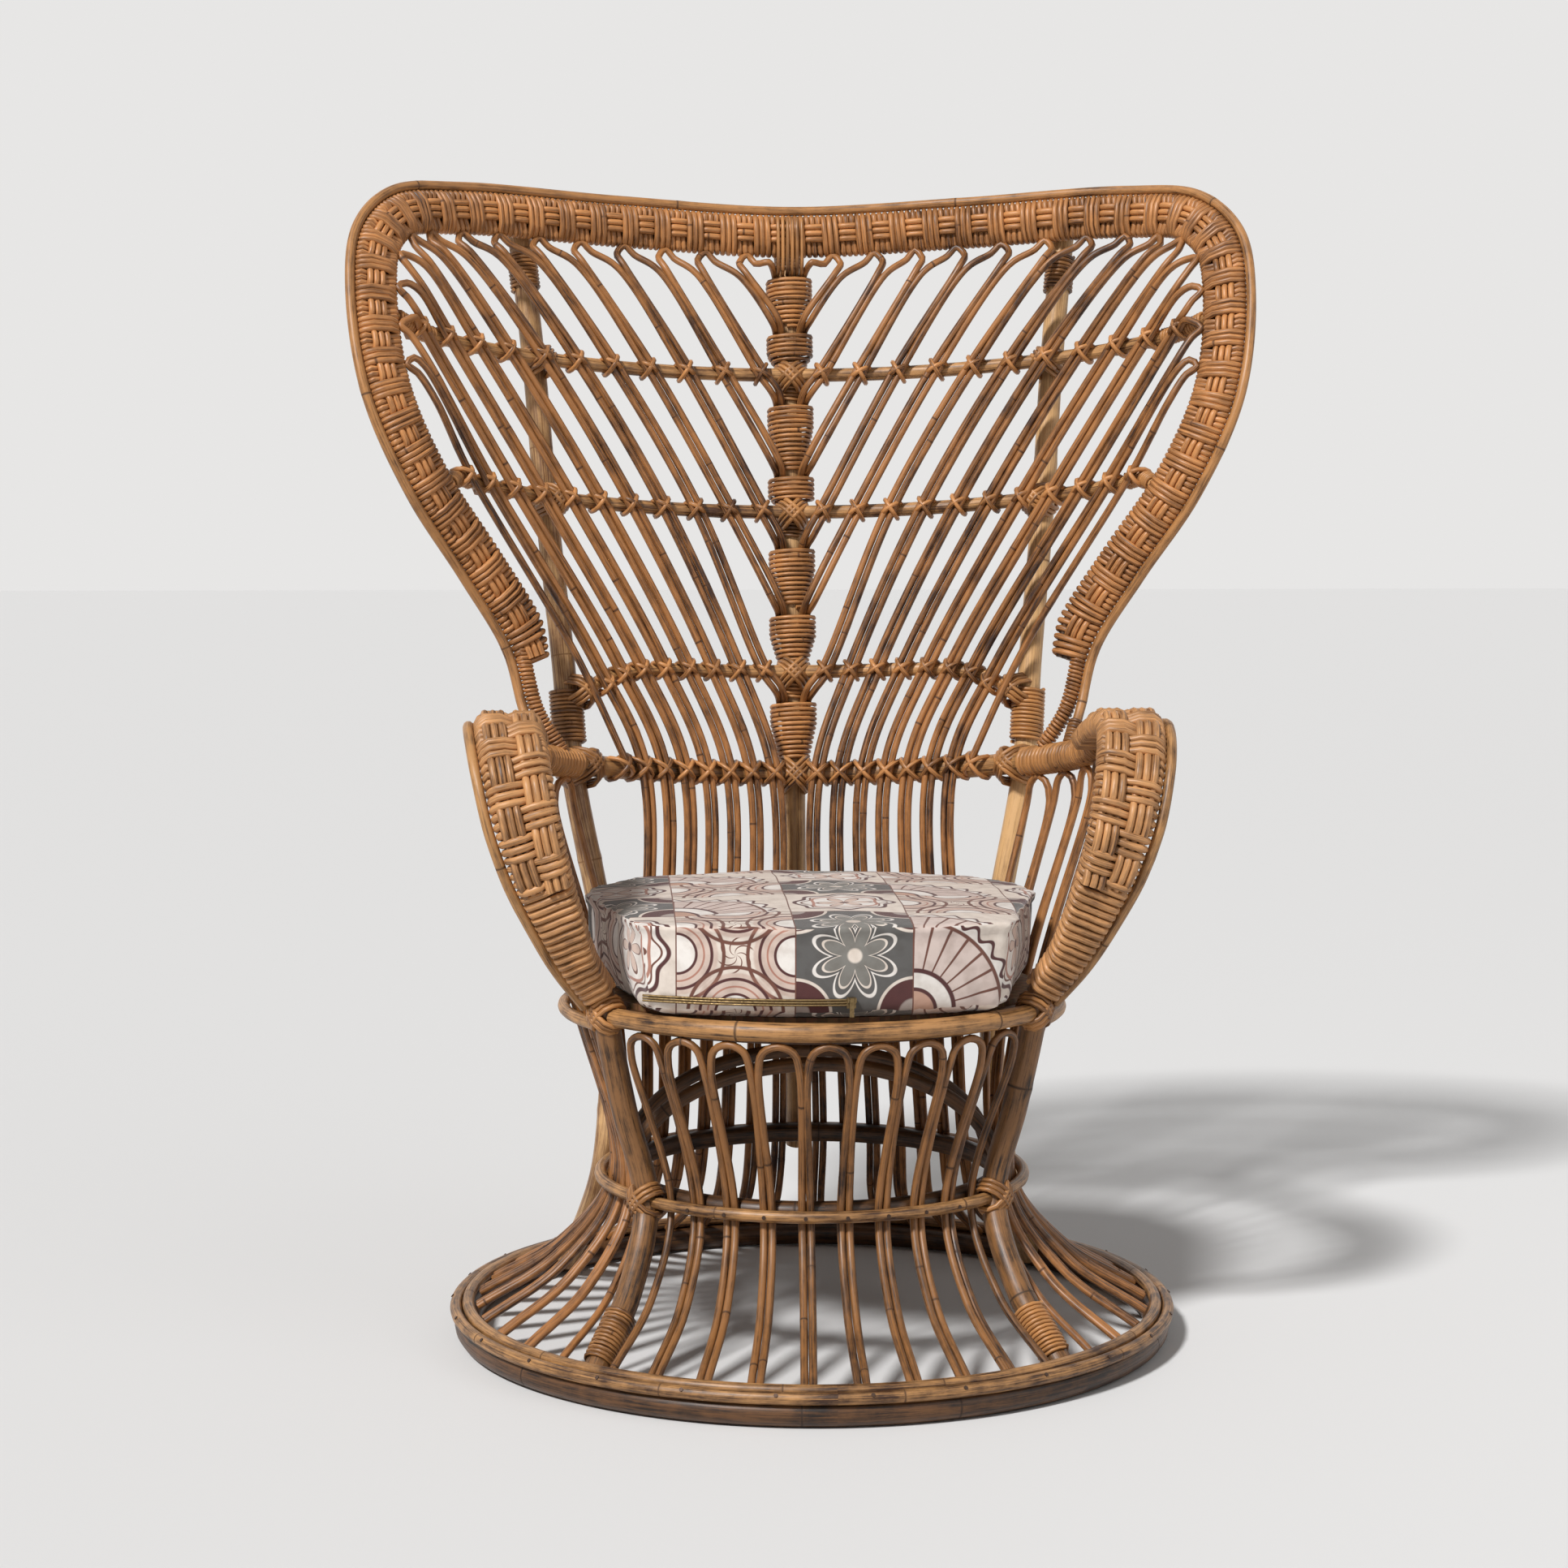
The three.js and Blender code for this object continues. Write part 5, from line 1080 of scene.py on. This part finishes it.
def cushion_print():
    # A patchwork of square tiles: lobed medallions, crossing rings, dark stars and fans on cream cotton.
    material, tree, surface = bare_material("cushion_print")
    place = placed(tree, "TexCoord").outputs
    calc = calculator(tree)

    def plus(a, b):
        return calc("ADD", a, b)

    def less(a, b):
        return calc("SUBTRACT", a, b)

    def times(a, b):
        return calc("MULTIPLY", a, b)

    def wave(kind, turn, count):
        return calc(kind, times(turn, count))

    def distance(a, b):
        return calc("SQRT", plus(times(a, a), times(b, b)))

    def line(value, width, at=0.0):
        # A drawn line where the value passes a mark.
        near = calc("SUBTRACT", 1.0, calc("DIVIDE", calc("ABSOLUTE", less(value, at)), width), clamp=True)
        return calc("MULTIPLY", near, 2.6, clamp=True)

    def inside(value, edge=0.0):
        # The area where the value is under the edge.
        return calc("MULTIPLY", less(edge, value), 60.0, clamp=True)

    def printed(ground, *coats):
        # Coats of colour over the ground, each with the mask it is printed through.
        for mask, colour in coats:
            ground = mixed(tree, mask, ground, colour)
        return ground

    # u and v run over the top, the front and the sides, and the tiles are counted along them
    x, y, z = placed(tree, "SeparateXYZ", {0: place["Object"]}).outputs
    nx, _, nz = placed(tree, "SeparateXYZ", {0: place["Normal"]}).outputs
    top = calc("GREATER_THAN", calc("ABSOLUTE", nz), 0.62)
    lateral = times(calc("GREATER_THAN", calc("ABSOLUTE", nx), 0.8), less(1.0, top))
    u = plus(times(x, less(1.0, lateral)), times(y, lateral))
    v = plus(times(y, top), times(z, less(1.0, top)))
    tile = 0.118
    tu = plus(calc("DIVIDE", u, tile), 10.28)
    tv = plus(calc("DIVIDE", v, tile), 6.75)
    kind = calc("FLOORED_MODULO", plus(calc("FLOOR", tu), times(calc("FLOOR", tv), 2.0)), 4.0)
    px, py = less(calc("FRACT", tu), 0.5), less(calc("FRACT", tv), 0.5)
    ax, ay = less(0.5, calc("ABSOLUTE", px)), less(0.5, calc("ABSOLUTE", py))
    r, angle = distance(px, py), calc("ARCTAN2", py, px)
    cream, white = (0.72, 0.63, 0.55), (0.79, 0.74, 0.69)
    maroon, brown = (0.075, 0.018, 0.017), (0.15, 0.055, 0.036)
    rose, slate = (0.42, 0.2, 0.145), (0.1, 0.095, 0.09)

    edge = less(r, plus(0.41, times(wave("COSINE", angle, 8.0), 0.03)))
    ring = less(r, plus(0.3, times(wave("COSINE", angle, 4.0), -0.03)))
    petals = less(r, times(calc("ABSOLUTE", wave("COSINE", angle, 3.0)), 0.24))
    medallion = printed(
        cream, (inside(edge), white), (line(edge, 0.024), maroon), (line(edge, 0.012, -0.06), brown),
        (line(ring, 0.018), rose), (inside(petals), (0.66, 0.5, 0.42)), (line(petals, 0.018), brown),
        (inside(r, 0.05), maroon))

    rings = cream
    for cx, cy in ((0.5, 0.0), (-0.5, 0.0), (0.0, 0.5), (0.0, -0.5)):
        d = distance(less(px, cx), less(py, cy))
        rings = printed(
            rings, (times(inside(d, 0.36), 0.35), rose), (line(d, 0.019, 0.4), brown),
            (line(d, 0.016, 0.3), maroon), (line(d, 0.01, 0.235), rose), (inside(d, 0.17), white),
            (line(d, 0.014, 0.17), maroon))
    swirl = calc("SINE", plus(times(angle, 3.0), times(r, 34.0)))
    rings = printed(rings, (times(line(swirl, 0.3), inside(r, 0.16)), brown))

    points = less(r, plus(0.2, times(calc("ABSOLUTE", wave("SINE", angle, 4.0)), 0.17)))
    corner = distance(ax, ay)
    star = printed(
        slate, (line(points, 0.02), white), (inside(points, -0.08), (0.2, 0.19, 0.17)),
        (line(points, 0.014, -0.08), cream), (inside(corner, 0.3), maroon), (line(corner, 0.016, 0.3), cream),
        (inside(corner, 0.13), (0.36, 0.3, 0.27)), (inside(r, 0.07), cream))

    fx, fy = plus(px, 0.5), plus(py, 0.5)
    far, sweep = distance(fx, fy), calc("ARCTAN2", fy, fx)
    scallop = less(far, plus(0.86, times(wave("COSINE", sweep, 28.0), 0.035)))
    ribs = line(wave("SINE", sweep, 14.0), 0.3)
    field = times(inside(far, 0.78), calc("MULTIPLY", less(far, 0.36), 60.0, clamp=True))
    fan = printed(
        cream, (inside(scallop), white), (times(field, 0.4), rose), (times(ribs, field), brown),
        (line(scallop, 0.022), maroon), (line(far, 0.02, 0.78), brown), (line(far, 0.024, 0.36), maroon),
        (inside(far, 0.2), (0.5, 0.3, 0.22)), (line(far, 0.02, 0.2), maroon))

    cotton = printed(medallion, *[(calc("COMPARE", kind, number, 0.1), drawing)
                                  for number, drawing in ((1.0, rings), (2.0, star), (3.0, fan))],
                     (line(calc("MINIMUM", ax, ay), 0.007), brown))
    # darker and greyer in small random patches, a mottled painted shade, with the threads of the weave as
    # relief
    mottle = placed(tree, "TexNoise", {"Scale": 70, "Detail": 5, "Vector": place["Object"]}).outputs["Fac"]
    shaded_cotton = mixed(tree, 1.0, cotton, (0.6, 0.54, 0.5), "MULTIPLY")
    cotton = printed(cotton, (calc("MULTIPLY", less(mottle, 0.42), 1.7, clamp=True), shaded_cotton))
    threads = times(wave("SINE", u, 5200.0), wave("SINE", v, 5200.0))
    relief = placed(tree, "Bump", {"Strength": 0.3, "Distance": 0.0004,
                                   "Height": plus(threads, times(mottle, 1.5))})
    feed(tree, surface, {"Base Color": cotton, "Roughness": 0.86, "Sheen Weight": 0.25,
                         "Normal": relief.outputs[0]})
    return material


finish_piece(cushion, cushion_print(), "seat_cushion", body="cushion")

# Zip. A closed chain of teeth along the bow of the cushion's front, drawn as three ridges, with a
# slider and a thin pull. All of it is dull, tarnished brass.
brass, tree, surface = bare_material("zip_brass")
place = placed(tree, "TexCoord").outputs["Object"]
tarnish = placed(tree, "TexNoise", {"Scale": 420, "Detail": 4, "Vector": place}).outputs["Fac"]
feed(tree, surface, {"Base Color": mixed(tree, tarnish, (0.3, 0.21, 0.1), (0.1, 0.065, 0.032)),
                     "Roughness": tarnish, "Metallic": 1.0})
BOW_RADIUS, BOW_Y, ZIP_Z = 0.4204, CENTRE_Y + 0.162, 0.3958
zip_lines = []
for rise in (-0.0026, 0.0, 0.0026):
    zip_lines.append(np.array([(BOW_RADIUS * math.sin(t), BOW_Y - BOW_RADIUS * math.cos(t), ZIP_Z + rise)
                               for t in np.radians(np.linspace(-26, 3, 60))]))
chain = rods("zip_chain", zip_lines, 0.0024, sides=6)
finish_piece(chain, brass, body="cushion")
for name in ("zip_slider", "zip_pull"):
    coat(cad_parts[name], brass)

# Floor, light and camera. A plain pale floor under a pale sky, with a soft sun from the left and a
# weak lamp on the right. The sky is brighter to the eye than the light that it gives.
SKY_LIGHT, SKY_SEEN = 0.2, 0.8
bpy.ops.object.select_all(action="DESELECT")
bpy.ops.mesh.primitive_plane_add(size=60, location=(0, 0, -0.0005))
floor = bpy.context.object
floor.name = "floor"
pale, tree, surface = bare_material("pale_floor")
feed(tree, surface, {"Base Color": (0.74, 0.735, 0.73, 1), "Roughness": 0.8})
coat(floor, pale)
floor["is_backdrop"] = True
world = bpy.data.worlds.new("studio")
bpy.context.scene.world = world
world.use_nodes = True
tree = world.node_tree
calc = calculator(tree)
ray = placed(tree, "LightPath").outputs
seen = calc("MAXIMUM", ray["Is Camera Ray"], ray["Is Glossy Ray"])
seen = calc("MAXIMUM", seen, ray["Is Transmission Ray"])
level = placed(tree, "MapRange", {"Value": seen, "To Min": SKY_LIGHT, "To Max": SKY_SEEN})
feed(tree, tree.nodes["Background"], {"Color": (1.0, 0.99, 0.98, 1), "Strength": level.outputs[0]})
bpy.ops.object.light_add(type="SUN", location=(-2, -2.4, 3.6))
key = bpy.context.object
key.name = "key"
key.data.energy = 3.45
key.data.angle = math.radians(8)
key.rotation_euler = (math.radians(44), 0, math.radians(-38))
bpy.ops.object.light_add(type="AREA", location=(2.8, -2.2, 2.2))
fill = bpy.context.object
fill.name = "fill"
fill.data.size = 2.2
fill.data.energy = 18
fill.rotation_euler = (math.radians(64), 0, math.radians(52))
bpy.ops.object.camera_add(location=(-0.2171, -3.2817 + CENTRE_Y, 0.886))
camera = bpy.context.object
camera.data.lens = 70.8
camera.data.sensor_width = 36
camera.rotation_euler = (math.radians(90 - 5.128), 0, -math.atan2(0.0569, 0.998))
bpy.context.scene.camera = camera
bpy.context.scene.view_settings.view_transform = "Standard"
low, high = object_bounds()
{"cad": [list(cad_low), list(cad_high)], "visual": [list(low), list(high)]}
